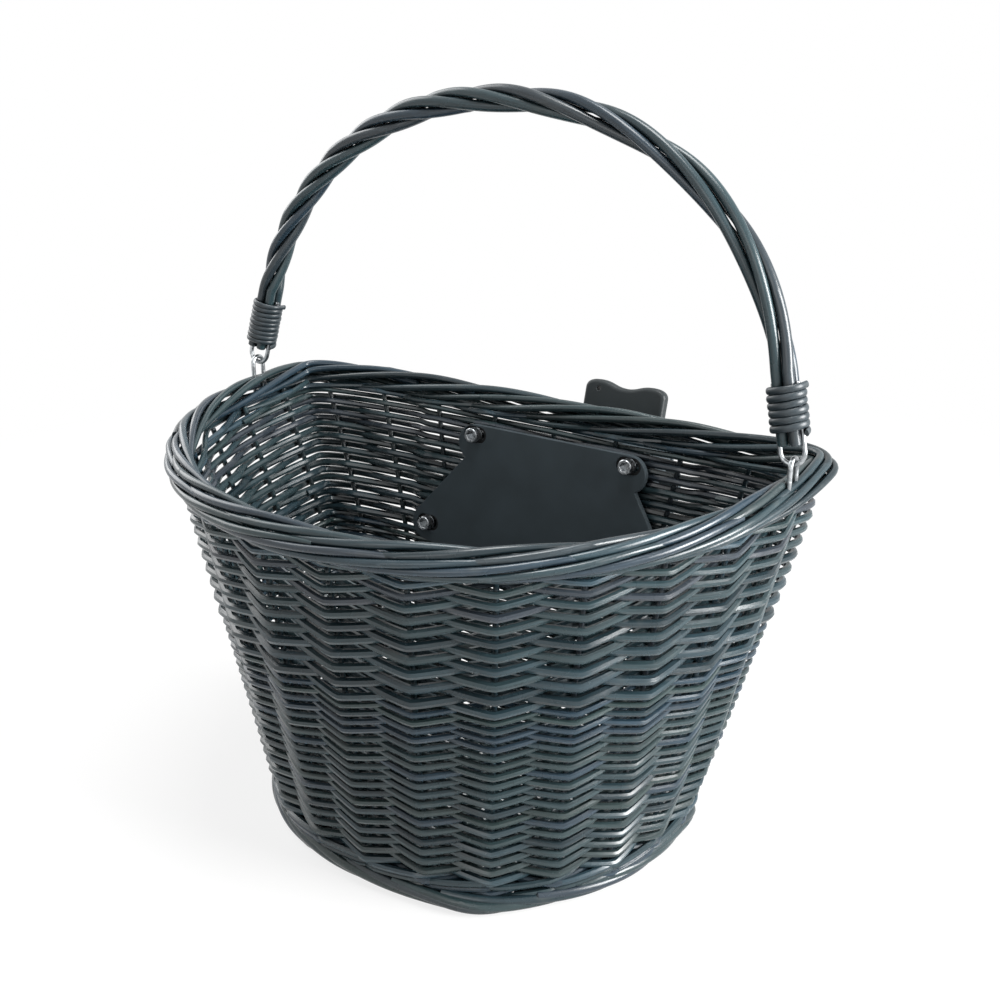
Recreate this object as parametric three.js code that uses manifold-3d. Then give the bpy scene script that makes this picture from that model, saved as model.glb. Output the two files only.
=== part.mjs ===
// A woven willow bicycle basket: tapered D-shaped body, rolled rim border, a twisted handle
// linked to the rim by wire loops, and a quick-release bar bracket on the back wall.
// Millimetres, +Z up. X runs along the straight back, +Y points to the handlebar, -Y to the front.

import * as THREE from 'three';
import { mergeVertices } from 'three/addons/utils/BufferGeometryUtils.js';
import Module from 'manifold-3d';

const wasm = await Module();
wasm.setup();

// Woven body
const BODY_HEIGHT = 221;
const RIM_HALF_WIDTH = 174.5;
const RIM_DEPTH = 229;
const RIM_CORNER_DEPTH = 27;
const BASE_HALF_WIDTH = 122.5;
const BASE_DEPTH = 148;
const BASE_CORNER_DEPTH = 31.5;
const BACK_LEAN = 39.8;
const RIM_BACK_SQUARENESS = 3.4;
const BASE_BACK_SQUARENESS = 7;
const FRONT_SQUARENESS = 2.19;
const OUTLINE_POINTS = 56;
const OUTLINE_SAMPLES = 720;

// Stakes and the weave round them: the wall is thick at each stake and thin between stakes
const STAKE_COUNT = 23;
const STAKE_LEAN = 0.32;
const STAKE_SPREAD = 0.7;
const STAKE_DEPTH = 5.6;
const WEAVE_HALF_AT_STAKE = 4.3;
const WEAVE_HALF_BETWEEN = 1.8;
const POINTS_PER_STAKE = 4;
const WALL_LEVELS = 5;

// Rolled rim border: four rods laid round each other
const BORDER_ROD_RADIUS = 3.4;
const BORDER_LAY_RADIUS = 5;
const BORDER_TURNS = 5;
const BORDER_GROOVE_FILL = 0.85;
const BORDER_OVERHANG = 6;
const BORDER_STEPS = 88;

// Foot border and woven floor
const FOOT_HEIGHT = 10;
const FOOT_WIDTH = 13;
const FOOT_INSET = 3.5;
const FOOT_CHAMFER = 3;
const FLOOR_THICKNESS = 5;
const FLOOR_RECESS = 3;

// Handle: four rods twisted together, bent to an arch
const HANDLE_SET_FORWARD = 59;
const HANDLE_RISE = 162;
const HANDLE_TILT_DEG = 7;
const HANDLE_LEG_LEAN_DEG = 13;
const HANDLE_FULLNESS = 0.56;
const HANDLE_TURNS = 3;
const HANDLE_ROD_RADIUS = 2.8;
const HANDLE_ROD_GAP = 0.5;
const HANDLE_ROD_END = 9.5;
const HANDLE_STEPS = 64;
const ROD_COUNT = 4;

// Galvanised wire: the loops on the handle and the eyes in the rim
const WIRE_RADIUS = 1.3;
const PIVOT_RISE = 8.5;
const EYE_OFFSET = 3;
const EYE_HALF_WIDTH = 4.2;
const EYE_LEG_DEPTH = 12;
const EYE_STEPS = 10;
const LOOP_DROP = 0.2;
const LOOP_END_MARGIN = 6;
const LOOP_BOW_STEPS = 14;

// Bindings round the handle's ends
const BINDING_SPARE = 7.5;
const BINDING_STEPS = 24;
const LEFT_BINDING_START = 11;
const LEFT_BINDING_TURNS = 9;
const LEFT_BINDING_PITCH = 2.8;
const LEFT_BINDING_STRAND = 1.9;
const RIGHT_BINDING_START = 14;
const RIGHT_BINDING_TURNS = 6;
const RIGHT_BINDING_PITCH = 3.7;
const RIGHT_BINDING_STRAND = 2.3;

// Inner plate and the bolts that clamp the wall between it and the bracket
const MOUNT_OFFSET_X = 12;
const PLATE_DROP = 6.068;
const UPPER_BOLT_SPACING = 102;
const LOWER_LEFT_BOLT_X = 80;
const LOWER_RIGHT_BOLT_X = 72;
const BOLT_ROW_SPACING = 60;
const PLATE_THICKNESS = 4;
const PLATE_EAR_WALL = 3.25;
const PLATE_TOP_LAND = 1.1;
const PLATE_SKIRT_STEP = 3;
const UPPER_EAR_DEG = 60;
const LOWER_EAR_DEG = 36;
const SLOT_LENGTH = 11.5;
const SLOT_RECESS_DEPTH = 1.4;
const SLOT_RECESS_CLEARANCE = 0.4;
const BOLT_RADIUS = 2.5;
const BOLT_HEAD_RADIUS = 4.25;
const BOLT_HEAD_HEIGHT = 5;
const BOLT_SOCKET_RADIUS = 2.3;
const BOLT_SOCKET_DEPTH = 2.6;
const BOLT_TAIL = 1;
const WASHER_RADIUS = 4.5;
const WASHER_THICKNESS = 1;
const NUT_RADIUS = 4.6;
const NUT_HEIGHT = 4;

// Bracket on the outside of the back wall, with its T rail
const FLANGE_THICKNESS = 4;
const FLANGE_INSET = 1;
const RAIL_OFFSET_X = 12;
const RAIL_NECK_HALF_WIDTH = 11;
const RAIL_HEAD_HALF_WIDTH = 19;
const RAIL_NECK_DEPTH = 6;
const RAIL_HEAD_DEPTH = 6;
const RAIL_TOP = 19;
const RAIL_BOTTOM = -30;
const CATCH_BOTTOM = -4;
const CATCH_HEIGHT = 11;
const CATCH_DEPTH = 4.5;

// Bar adapter that the rail drops into
const ADAPTER_HALF_WIDTH = 31;
const ADAPTER_BACK_WALL = 11;
const ADAPTER_TOP = 31;
const ADAPTER_FLOOR = 7;
const ADAPTER_EDGE_ROUND = 5;
const ARM_SLOT_DEPTH = 5;

// Release lever, its pin and return spring
const LEVER_PIN_RADIUS = 2;
const LEVER_PIN_SETBACK = 0.9;
const LEVER_PIN_DROP = 6.5;
const LEVER_PIN_COVER = 9;
const LEVER_HUB_RADIUS = 5.5;
const LEVER_ARM_HALF_WIDTH = 8;
const LEVER_ARM_THICKNESS = 5;
const LEVER_NOSE_REACH = 3.6;
const LEVER_NOSE_SWING = 1.8;
const LEVER_TAB_HALF_WIDTH = 27;
const LEVER_TAB_THICKNESS = 7.5;
const LEVER_TAB_GAP = 3;
const LEVER_TAB_RISE = 3;
const LEVER_TAB_HEIGHT = 30.5;
const LEVER_TAB_LEAN = 4;
const LEVER_TAB_DIP = 3.2;
const LEVER_TAB_CORNER = 6;
const LEVER_BUMP_X = 17.5;
const LEVER_BUMP_EASE = 8;
const LEVER_WEB_HEIGHT = 8;
const LEVER_WEB_RISE = 3;
const LEVER_HOLE_RADIUS = 1.5;
const LEVER_HOLE_DROP = 5;
const SPRING_RADIUS = 3.4;
const SPRING_WIRE_RADIUS = 0.45;
const SPRING_TURNS = 5;
const SPRING_ROOM = 10.9;
const SPRING_RISE = 8;

// Clamps for a 31.8 mm handlebar
const BAR_RADIUS = 15.9;
const CLAMP_WALL = 4;
const CLAMP_WIDTH = 15;
const CLAMP_SPACING = 44;
const CLAMP_EAR_MARGIN = 1.5;
const CLAMP_SPLIT = 1.2;
const CLAMP_SCREW_RADIUS = 2;
const CLAMP_SCREW_HEAD_RADIUS = 3.5;
const CLAMP_SCREW_HEAD_HEIGHT = 3;
const CLAMP_SCREW_LENGTH = 16;

// Fits, and how far a cutting shape runs past the face that it opens
const SEAT_GAP = 0.3;
const RUNNING_GAP = 0.4;
const CUT_OVERRUN = 1;

// Facets
const ROD_SIDES = 6;
const SPRING_SIDES = 5;
const SPRING_STEPS = 10;
const HEX_SIDES = 6;
const WIRE_HOLE_SIDES = 8;
const FASTENER_SIDES = 12;
const HUB_SIDES = 20;
const BAR_SIDES = 28;
const ARC_SEGMENTS = 6;

// Values that follow from the sizes above
const BORDER_RADIUS = BORDER_LAY_RADIUS + BORDER_ROD_RADIUS;
const WALL_TOP = BODY_HEIGHT - 2 * BORDER_RADIUS - SEAT_GAP;
const WALL_BOTTOM = FOOT_HEIGHT + SEAT_GAP;
const WALL_FACE = STAKE_DEPTH - WEAVE_HALF_AT_STAKE;
const WALL_INSIDE = STAKE_DEPTH + WEAVE_HALF_AT_STAKE;
const BACK_TILT = Math.atan2(BACK_LEAN, BODY_HEIGHT);
const HANDLE_LEG_LEAN = THREE.MathUtils.degToRad(HANDLE_LEG_LEAN_DEG);
const LEFT_BINDING_END = LEFT_BINDING_START + LEFT_BINDING_TURNS * LEFT_BINDING_PITCH + LEFT_BINDING_STRAND;
const RIGHT_BINDING_END = RIGHT_BINDING_START + RIGHT_BINDING_TURNS * RIGHT_BINDING_PITCH
  + RIGHT_BINDING_STRAND;
const HANDLE_LEG_LENGTH = Math.max(LEFT_BINDING_END, RIGHT_BINDING_END) + BINDING_SPARE;
const HANDLE_LAY_RADIUS = (HANDLE_ROD_RADIUS + HANDLE_ROD_GAP / 2) * Math.SQRT2;
const PIVOT_Z = BODY_HEIGHT + PIVOT_RISE;
const ROD_OFFSET = HANDLE_LAY_RADIUS * Math.SQRT1_2;
const LOOP_HALF_WIDTH = ROD_OFFSET
  + Math.sqrt((HANDLE_ROD_RADIUS + WIRE_RADIUS + SEAT_GAP) ** 2 - ROD_OFFSET ** 2);
const BINDING_INNER_RADIUS = Math.max(LOOP_HALF_WIDTH + WIRE_RADIUS, HANDLE_LAY_RADIUS + HANDLE_ROD_RADIUS)
  + SEAT_GAP;
const BOLT_HOLE_RADIUS = BOLT_RADIUS + RUNNING_GAP;
const SLOT_RECESS_RADIUS = WASHER_RADIUS + SLOT_RECESS_CLEARANCE;
const SLOT_RECESS_LENGTH = SLOT_LENGTH + 2 * (SLOT_RECESS_RADIUS - BOLT_HOLE_RADIUS);
const PLATE_EAR_RADIUS = SLOT_RECESS_LENGTH / 2 + PLATE_EAR_WALL;
const PLATE_TOP_MARGIN = SLOT_RECESS_RADIUS + PLATE_TOP_LAND;
const PLATE_SKIRT = PLATE_EAR_RADIUS + PLATE_SKIRT_STEP;
const MOUNT_HEIGHT = WALL_TOP - PLATE_DROP - (BOLT_ROW_SPACING / 2 + PLATE_TOP_MARGIN) * Math.cos(BACK_TILT);
const FLANGE_BACK = SEAT_GAP + FLANGE_THICKNESS;
const HEAD_FRONT = FLANGE_BACK + RAIL_NECK_DEPTH;
const HEAD_BACK = HEAD_FRONT + RAIL_HEAD_DEPTH;
const CATCH_TOP = CATCH_BOTTOM + CATCH_HEIGHT;
const ARM_FRONT = HEAD_BACK + 2 * RUNNING_GAP;
const ARM_BACK = ARM_FRONT + LEVER_ARM_THICKNESS;
const ARM_SLOT_BACK = ARM_BACK + SPRING_ROOM;
const ARM_SLOT_FLOOR = CATCH_BOTTOM - ARM_SLOT_DEPTH;
const ADAPTER_BACK = ARM_SLOT_BACK + ADAPTER_BACK_WALL;
const LEVER_PIN_Y = ARM_FRONT + LEVER_HUB_RADIUS + LEVER_PIN_SETBACK;
const LEVER_PIN_Z = ADAPTER_TOP - LEVER_PIN_DROP;
const LEVER_PIN_LENGTH = 2 * (ADAPTER_HALF_WIDTH - LEVER_PIN_COVER);
const LEVER_TAB_FRONT = ADAPTER_BACK + LEVER_TAB_GAP;
const LEVER_TAB_BACK = LEVER_TAB_FRONT + LEVER_TAB_THICKNESS;
const LEVER_TAB_BOTTOM = ADAPTER_TOP + LEVER_TAB_RISE;
const LEVER_TAB_TOP = LEVER_TAB_BOTTOM + LEVER_TAB_HEIGHT;
const BAR_Y = ADAPTER_BACK + CLAMP_WALL + BAR_RADIUS + RUNNING_GAP;

// Finishes
const paintedWillow = new THREE.MeshStandardMaterial({ color: 0x2f3a40, roughness: 0.45, metalness: 0 });
const bindingCane = new THREE.MeshStandardMaterial({ color: 0x262c30, roughness: 0.5, metalness: 0 });
const galvanisedWire = new THREE.MeshStandardMaterial({ color: 0xb9bec2, roughness: 0.35, metalness: 1 });
const zincSteel = new THREE.MeshStandardMaterial({ color: 0xa9adb0, roughness: 0.3, metalness: 1 });
const blackNylon = new THREE.MeshStandardMaterial({ color: 0x1b1c1e, roughness: 0.6, metalness: 0 });
const leverNylon = new THREE.MeshStandardMaterial({ color: 0x26282b, roughness: 0.5, metalness: 0 });

// Closed meshes and cuts

function closedMesh(points, triangles) {
  const geometry = new THREE.BufferGeometry();
  let volume = 0;
  for (const [a, b, c] of triangles) {
    volume += points[a].dot(new THREE.Vector3().crossVectors(points[b], points[c]));
  }
  const order = volume < 0 ? triangles.map(([a, b, c]) => [a, c, b]) : triangles;
  geometry.setAttribute('position', new THREE.Float32BufferAttribute(points.flatMap((p) => p.toArray()), 3));
  geometry.setIndex(order.flat());
  return geometry;
}

function toManifold(geometry) {
  const bare = geometry.clone();
  for (const key of Object.keys(bare.attributes)) {
    if (key !== 'position') bare.deleteAttribute(key);
  }
  const merged = mergeVertices(bare, 1e-4);
  const triVerts = [];
  const index = merged.index.array;
  for (let i = 0; i < index.length; i += 3) {
    const [a, b, c] = [index[i], index[i + 1], index[i + 2]];
    if (a !== b && b !== c && a !== c) triVerts.push(a, b, c);
  }
  return new wasm.Manifold(new wasm.Mesh({
    numProp: 3,
    vertProperties: new Float32Array(merged.attributes.position.array),
    triVerts: new Uint32Array(triVerts),
  }));
}

function fromManifold(solid) {
  const { vertProperties, triVerts } = solid.getMesh();
  const geometry = new THREE.BufferGeometry();
  geometry.setAttribute('position', new THREE.Float32BufferAttribute(vertProperties, 3));
  geometry.setIndex(Array.from(triVerts));
  return geometry;
}

function cut(geometry, tools) {
  return fromManifold(tools.reduce((solid, tool) => solid.subtract(toManifold(tool)), toManifold(geometry)));
}

function join(geometries) {
  return fromManifold(geometries.map(toManifold).reduce((sum, solid) => sum.add(solid)));
}

function common(first, second) {
  return fromManifold(toManifold(first).intersect(toManifold(second)));
}

// Rings of equal point count, stitched one to the next; the last ring joins the first
function stitchRings(rings) {
  const count = rings[0].length;
  const triangles = [];
  for (let i = 0; i < rings.length; i += 1) {
    const next = (i + 1) % rings.length;
    for (let j = 0; j < count; j += 1) {
      const k = (j + 1) % count;
      const [a, b, c, d] = [i * count + j, i * count + k, next * count + j, next * count + k];
      triangles.push([a, b, c], [b, d, c]);
    }
  }
  return closedMesh(rings.flat(), triangles);
}

// A round rod along a list of points, with flat ends
function rodAlong(points, radius, sides = ROD_SIDES) {
  const tangents = points.map((p, i) => new THREE.Vector3()
    .subVectors(points[Math.min(i + 1, points.length - 1)], points[Math.max(i - 1, 0)]).normalize());
  const seed = Math.abs(tangents[0].y) < 0.9 ? new THREE.Vector3(0, 1, 0) : new THREE.Vector3(1, 0, 0);
  const normal = seed.addScaledVector(tangents[0], -seed.dot(tangents[0])).normalize();
  const ringPoints = [];
  points.forEach((point, i) => {
    normal.addScaledVector(tangents[i], -normal.dot(tangents[i])).normalize();
    const side = new THREE.Vector3().crossVectors(tangents[i], normal);
    for (let j = 0; j < sides; j += 1) {
      const angle = (2 * Math.PI * j) / sides;
      ringPoints.push(point.clone()
        .addScaledVector(normal, radius * Math.cos(angle))
        .addScaledVector(side, radius * Math.sin(angle)));
    }
  });
  const triangles = [];
  for (let i = 0; i + 1 < points.length; i += 1) {
    for (let j = 0; j < sides; j += 1) {
      const k = (j + 1) % sides;
      const [a, b, c, d] = [i * sides + j, i * sides + k, (i + 1) * sides + j, (i + 1) * sides + k];
      triangles.push([a, b, c], [b, d, c]);
    }
  }
  const last = (points.length - 1) * sides;
  for (let j = 1; j + 1 < sides; j += 1) {
    triangles.push([0, j + 1, j], [last, last + j, last + j + 1]);
  }
  return closedMesh(ringPoints, triangles);
}

// Outlines drawn in (Y, Z) and run along X, or drawn in (X, Z) and run along Y
const AXIS_X = new THREE.Vector3(1, 0, 0);
const AXIS_Y = new THREE.Vector3(0, 1, 0);
const AXIS_Z = new THREE.Vector3(0, 0, 1);

function extruded(shape, depth, curveSegments) {
  return new THREE.ExtrudeGeometry(shape, { depth, bevelEnabled: false, curveSegments });
}

function alongX(shape, from, to, segments = ARC_SEGMENTS) {
  const geometry = extruded(shape, to - from, segments);
  return geometry.applyMatrix4(new THREE.Matrix4().makeBasis(AXIS_Y, AXIS_Z, AXIS_X)).translate(from, 0, 0);
}

function alongY(shape, from, to, segments = ARC_SEGMENTS) {
  const geometry = extruded(shape, to - from, segments);
  const turned = new THREE.Matrix4().makeBasis(AXIS_X, AXIS_Z, AXIS_Y.clone().negate());
  return geometry.applyMatrix4(turned).translate(0, to, 0);
}

function polygon(points) {
  return new THREE.Shape(points.map(([u, v]) => new THREE.Vector2(u, v)));
}

function block(xs, ys, zs) {
  const size = [xs, ys, zs].map(([low, high]) => high - low);
  const centre = [xs, ys, zs].map(([low, high]) => (low + high) / 2);
  return new THREE.BoxGeometry(...size).translate(...centre);
}

function cylinderX(radius, from, to, y, z, sides = FASTENER_SIDES) {
  return new THREE.CylinderGeometry(radius, radius, to - from, sides)
    .rotateZ(Math.PI / 2).translate((from + to) / 2, y, z);
}

function cylinderY(radius, from, to, x, z, sides = FASTENER_SIDES) {
  return new THREE.CylinderGeometry(radius, radius, to - from, sides).translate(x, (from + to) / 2, z);
}

// The D-shaped outline at a height, moved in by an inset and spaced evenly round its length
function outlineAt(z, inset, count) {
  const rise = z / BODY_HEIGHT;
  const halfWidth = THREE.MathUtils.lerp(BASE_HALF_WIDTH, RIM_HALF_WIDTH, rise);
  const depth = THREE.MathUtils.lerp(BASE_DEPTH, RIM_DEPTH, rise);
  const corner = THREE.MathUtils.lerp(BASE_CORNER_DEPTH, RIM_CORNER_DEPTH, rise);
  const backPower = THREE.MathUtils.lerp(BASE_BACK_SQUARENESS, RIM_BACK_SQUARENESS, rise);
  const back = -BACK_LEAN * (1 - rise);
  const fine = OUTLINE_SAMPLES;
  const raw = Array.from({ length: fine }, (_, i) => {
    const angle = (2 * Math.PI * (i + 0.5)) / fine;
    const [c, s] = [Math.cos(angle), Math.sin(angle)];
    const power = s > 0 ? backPower : FRONT_SQUARENESS;
    const reach = s > 0 ? corner : depth - corner;
    return new THREE.Vector2(
      halfWidth * Math.sign(c) * Math.abs(c) ** (2 / power),
      back - corner + reach * Math.sign(s) * Math.abs(s) ** (2 / power),
    );
  });
  const moved = raw.map((point, i) => {
    const along = raw[(i + 1) % fine].clone().sub(raw[(i + fine - 1) % fine]).normalize();
    return new THREE.Vector3(point.x - along.y * inset, point.y + along.x * inset, z);
  });
  moved.push(moved[0].clone());
  const lengths = [0];
  for (let i = 1; i <= fine; i += 1) lengths.push(lengths[i - 1] + moved[i].distanceTo(moved[i - 1]));
  let at = 0;
  return Array.from({ length: count }, (_, i) => {
    const target = (lengths[fine] * i) / count;
    while (lengths[at + 1] < target) at += 1;
    const part = (target - lengths[at]) / (lengths[at + 1] - lengths[at]);
    return moved[at].clone().lerp(moved[at + 1], part);
  });
}

// How far a wall face falls back from its middle at a distance along the straight back
function backSag(z, inset, x) {
  const backEdge = outlineAt(z, inset, OUTLINE_SAMPLES).filter((p) => p.y > -BACK_LEAN * (1 - z / BODY_HEIGHT)
    - inset - RIM_CORNER_DEPTH / 2);
  const middle = Math.max(...backEdge.map((p) => p.y));
  const near = backEdge.reduce((best, p) => (Math.abs(p.x - x) < Math.abs(best.x - x) ? p : best));
  return middle - near.y;
}

// Scene graph

const basket = new THREE.Group();
const handle = new THREE.Group();
const mount = new THREE.Group();
const latch = new THREE.Group();
basket.add(handle, mount);
mount.add(latch);

function addPiece(parent, name, geometry, material) {
  const piece = new THREE.Mesh(geometry, material);
  piece.name = name;
  parent.add(piece);
  return piece;
}

// Bracket frame: its Y axis is square to the leaning back wall, its origin on the wall's outer face
mount.position.set(MOUNT_OFFSET_X, -BACK_LEAN * (1 - MOUNT_HEIGHT / BODY_HEIGHT) - WALL_FACE, MOUNT_HEIGHT);
mount.rotation.x = -BACK_TILT;
mount.updateMatrixWorld(true);

// The rail, and all that hangs on it, sits to one side of the plate's middle
latch.position.x = RAIL_OFFSET_X;

const BOLT_PLACES = [
  ['upper_left', -UPPER_BOLT_SPACING / 2, BOLT_ROW_SPACING / 2],
  ['upper_right', UPPER_BOLT_SPACING / 2, BOLT_ROW_SPACING / 2],
  ['lower_left', -LOWER_LEFT_BOLT_X, -BOLT_ROW_SPACING / 2],
  ['lower_right', LOWER_RIGHT_BOLT_X, -BOLT_ROW_SPACING / 2],
];
const PLATE_REACH = Math.max(LOWER_LEFT_BOLT_X, LOWER_RIGHT_BOLT_X) + PLATE_EAR_RADIUS
  + Math.abs(MOUNT_OFFSET_X);
const PLATE_SAG = Math.max(...[-1, 1].map((side) => backSag(
  MOUNT_HEIGHT + side * (BOLT_ROW_SPACING / 2 + PLATE_EAR_RADIUS), WALL_INSIDE, PLATE_REACH,
)));
const PLATE_BACK = -(2 * WEAVE_HALF_AT_STAKE + PLATE_SAG + SEAT_GAP);
const PLATE_FRONT = PLATE_BACK - PLATE_THICKNESS;

// Stakes lean a little to the right; at the foot they stand wider apart in front than behind.
// The place is a share of the way round, from the middle of the front
function stakeShare(stake, z) {
  const rise = z / BODY_HEIGHT;
  const spread = STAKE_SPREAD * (1 - rise) * Math.sin((2 * Math.PI * stake) / STAKE_COUNT);
  return (stake + STAKE_LEAN * rise + spread) / STAKE_COUNT;
}

// One ring of a wall face, side 1 outside and -1 inside: a ridge at each stake, a hollow between
function wallRing(z, side) {
  const edge = outlineAt(z, 0, OUTLINE_SAMPLES);
  const front = edge.reduce((best, p, i) => (p.y < edge[best].y ? i : best), 0);
  return Array.from({ length: STAKE_COUNT * POINTS_PER_STAKE }, (_, i) => {
    const stake = i / POINTS_PER_STAKE;
    const at = (front + OUTLINE_SAMPLES * stakeShare(stake, z)) % OUTLINE_SAMPLES;
    const near = Math.floor(at);
    const point = edge[near].clone().lerp(edge[(near + 1) % OUTLINE_SAMPLES], at - near);
    const swell = Math.abs(2 * (stake % 1) - 1);
    const half = THREE.MathUtils.lerp(WEAVE_HALF_BETWEEN, WEAVE_HALF_AT_STAKE, swell);
    return point.addScaledVector(outwardAt(edge, near), side * half - STAKE_DEPTH);
  });
}

// Woven wall: a tapered shell, open at the top, with a way through for each bolt
function makeWall() {
  const heights = Array.from({ length: WALL_LEVELS }, (_, i) => THREE.MathUtils.lerp(
    WALL_BOTTOM, WALL_TOP, i / (WALL_LEVELS - 1),
  ));
  const shell = stitchRings([
    ...heights.map((z) => wallRing(z, 1)),
    ...[...heights].reverse().map((z) => wallRing(z, -1)),
  ]);
  const boltWays = BOLT_PLACES.map(([, x, z]) => cylinderY(
    BOLT_HOLE_RADIUS, 2 * PLATE_BACK, STAKE_DEPTH, x, z, WIRE_HOLE_SIDES,
  ).applyMatrix4(mount.matrix));
  return cut(shell, boltWays);
}

// The direction square to an outline at one of its points
function outwardAt(path, i) {
  const count = path.length;
  const along = path[(i + 1) % count].clone().sub(path[(i + count - 1) % count]);
  return new THREE.Vector3().crossVectors(along, AXIS_Z).normalize();
}

// A ring swept round an outline; the section gives (outward, up) points at each step
function sweepRound(path, section) {
  return stitchRings(path.map((point, i) => section(i / path.length).map(([out, up]) => point.clone()
    .addScaledVector(outwardAt(path, i), out).addScaledVector(AXIS_Z, up))));
}

// Rim border: four rods laid as one rope, so the ridges run long and slanting round the rim
const BORDER_PATH = outlineAt(BODY_HEIGHT - BORDER_RADIUS, BORDER_RADIUS - BORDER_OVERHANG, BORDER_STEPS);

function borderSection(turn) {
  const spread = Math.PI / ROD_COUNT;
  const valley = BORDER_LAY_RADIUS * Math.cos(spread) + BORDER_GROOVE_FILL;
  const points = [];
  for (let rod = 0; rod < ROD_COUNT; rod += 1) {
    const centre = 2 * Math.PI * (rod / ROD_COUNT + BORDER_TURNS * turn);
    for (const facing of [centre - spread, centre + spread]) {
      points.push([
        BORDER_LAY_RADIUS * Math.cos(centre) + BORDER_ROD_RADIUS * Math.cos(facing),
        BORDER_LAY_RADIUS * Math.sin(centre) + BORDER_ROD_RADIUS * Math.sin(facing),
      ]);
    }
    points.push([valley * Math.cos(centre + spread), valley * Math.sin(centre + spread)]);
  }
  return points;
}

// The eyes stand on the border's outer half, where the border is this far in front of the rim's back
const fromHandle = (p) => Math.abs(p.y + HANDLE_SET_FORWARD);
const EYE_X = EYE_OFFSET + BORDER_PATH.filter((p) => p.x > 0)
  .reduce((best, p) => (fromHandle(p) < fromHandle(best) ? p : best)).x;

function makeBorder() {
  const ring = sweepRound(BORDER_PATH, borderSection);
  const legHoles = [];
  for (const x of [-EYE_X, EYE_X]) {
    for (const y of [-EYE_HALF_WIDTH, EYE_HALF_WIDTH]) {
      const depth = EYE_LEG_DEPTH + SEAT_GAP;
      const radius = WIRE_RADIUS + SEAT_GAP;
      legHoles.push(new THREE.CylinderGeometry(radius, radius, depth, WIRE_HOLE_SIDES)
        .rotateX(Math.PI / 2).translate(x, y - HANDLE_SET_FORWARD, BODY_HEIGHT + SEAT_GAP - depth / 2));
    }
  }
  return cut(ring, legHoles);
}

// Foot border: a low ring with a flat underside
const FOOT_PATH = outlineAt(FOOT_HEIGHT / 2, FOOT_INSET, OUTLINE_POINTS).map((p) => p.setZ(0));

function makeFoot() {
  const half = FOOT_WIDTH / 2;
  return sweepRound(FOOT_PATH, () => [
    [half - FOOT_CHAMFER, 0], [half, FOOT_CHAMFER], [half, FOOT_HEIGHT - FOOT_CHAMFER],
    [half - FOOT_CHAMFER, FOOT_HEIGHT], [FOOT_CHAMFER - half, FOOT_HEIGHT],
    [-half, FOOT_HEIGHT - FOOT_CHAMFER], [-half, FOOT_CHAMFER], [FOOT_CHAMFER - half, 0],
  ]);
}

// Woven floor: lies inside the foot border, clear of the ground
function makeFloor() {
  const inset = FOOT_WIDTH / 2 + SEAT_GAP;
  const edge = FOOT_PATH.map((p, i) => {
    const moved = p.clone().addScaledVector(outwardAt(FOOT_PATH, i), -inset);
    return new THREE.Vector2(moved.x, moved.y);
  });
  return extruded(new THREE.Shape(edge), FLOOR_THICKNESS, ARC_SEGMENTS).translate(0, 0, FLOOR_RECESS);
}

addPiece(basket, 'woven_wall', makeWall(), paintedWillow);
addPiece(basket, 'rim_border', makeBorder(), paintedWillow);
addPiece(basket, 'foot_border', makeFoot(), paintedWillow);
addPiece(basket, 'woven_floor', makeFloor(), paintedWillow);

// Rim eyes: wire staples across which the handle's loops hang
function eyePath() {
  const middle = PIVOT_RISE + 2 * WIRE_RADIUS + SEAT_GAP - EYE_HALF_WIDTH;
  const points = [new THREE.Vector3(0, -EYE_HALF_WIDTH, -EYE_LEG_DEPTH)];
  for (let i = 0; i <= EYE_STEPS; i += 1) {
    const angle = Math.PI * (1 - i / EYE_STEPS);
    points.push(new THREE.Vector3(
      0, EYE_HALF_WIDTH * Math.cos(angle), middle + EYE_HALF_WIDTH * Math.sin(angle),
    ));
  }
  points.push(new THREE.Vector3(0, EYE_HALF_WIDTH, -EYE_LEG_DEPTH));
  return points;
}

for (const [side, sign] of [['left', -1], ['right', 1]]) {
  addPiece(basket, `rim_eye_${side}`, rodAlong(eyePath(), WIRE_RADIUS), galvanisedWire)
    .position.set(sign * EYE_X, -HANDLE_SET_FORWARD, BODY_HEIGHT);
}

// Handle: the group's origin lies on the swing axis
handle.position.set(0, -HANDLE_SET_FORWARD, PIVOT_Z);
handle.rotation.x = -THREE.MathUtils.degToRad(HANDLE_TILT_DEG);

function handleLine() {
  const legTop = new THREE.Vector3(
    EYE_X - HANDLE_LEG_LENGTH * Math.sin(HANDLE_LEG_LEAN), 0, HANDLE_LEG_LENGTH * Math.cos(HANDLE_LEG_LEAN),
  );
  const legFoot = new THREE.Vector3(
    EYE_X - HANDLE_ROD_END * Math.sin(HANDLE_LEG_LEAN), 0, HANDLE_ROD_END * Math.cos(HANDLE_LEG_LEAN),
  );
  const apex = new THREE.Vector3(0, 0, HANDLE_RISE);
  const climb = HANDLE_FULLNESS * (HANDLE_RISE - legTop.z);
  const shoulder = legTop.clone().add(
    new THREE.Vector3(-climb * Math.sin(HANDLE_LEG_LEAN), 0, climb * Math.cos(HANDLE_LEG_LEAN)),
  );
  const crown = new THREE.Vector3(HANDLE_FULLNESS * legTop.x, 0, HANDLE_RISE);
  const mirror = (v) => new THREE.Vector3(-v.x, v.y, v.z);
  const path = new THREE.CurvePath();
  path.add(new THREE.LineCurve3(mirror(legFoot), mirror(legTop)));
  path.add(new THREE.CubicBezierCurve3(mirror(legTop), mirror(shoulder), mirror(crown), apex));
  path.add(new THREE.CubicBezierCurve3(apex, crown, shoulder, legTop));
  path.add(new THREE.LineCurve3(legTop, legFoot));
  return path;
}

const HANDLE_PATH = handleLine();
const HANDLE_LENGTH = HANDLE_PATH.getLength();

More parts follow.
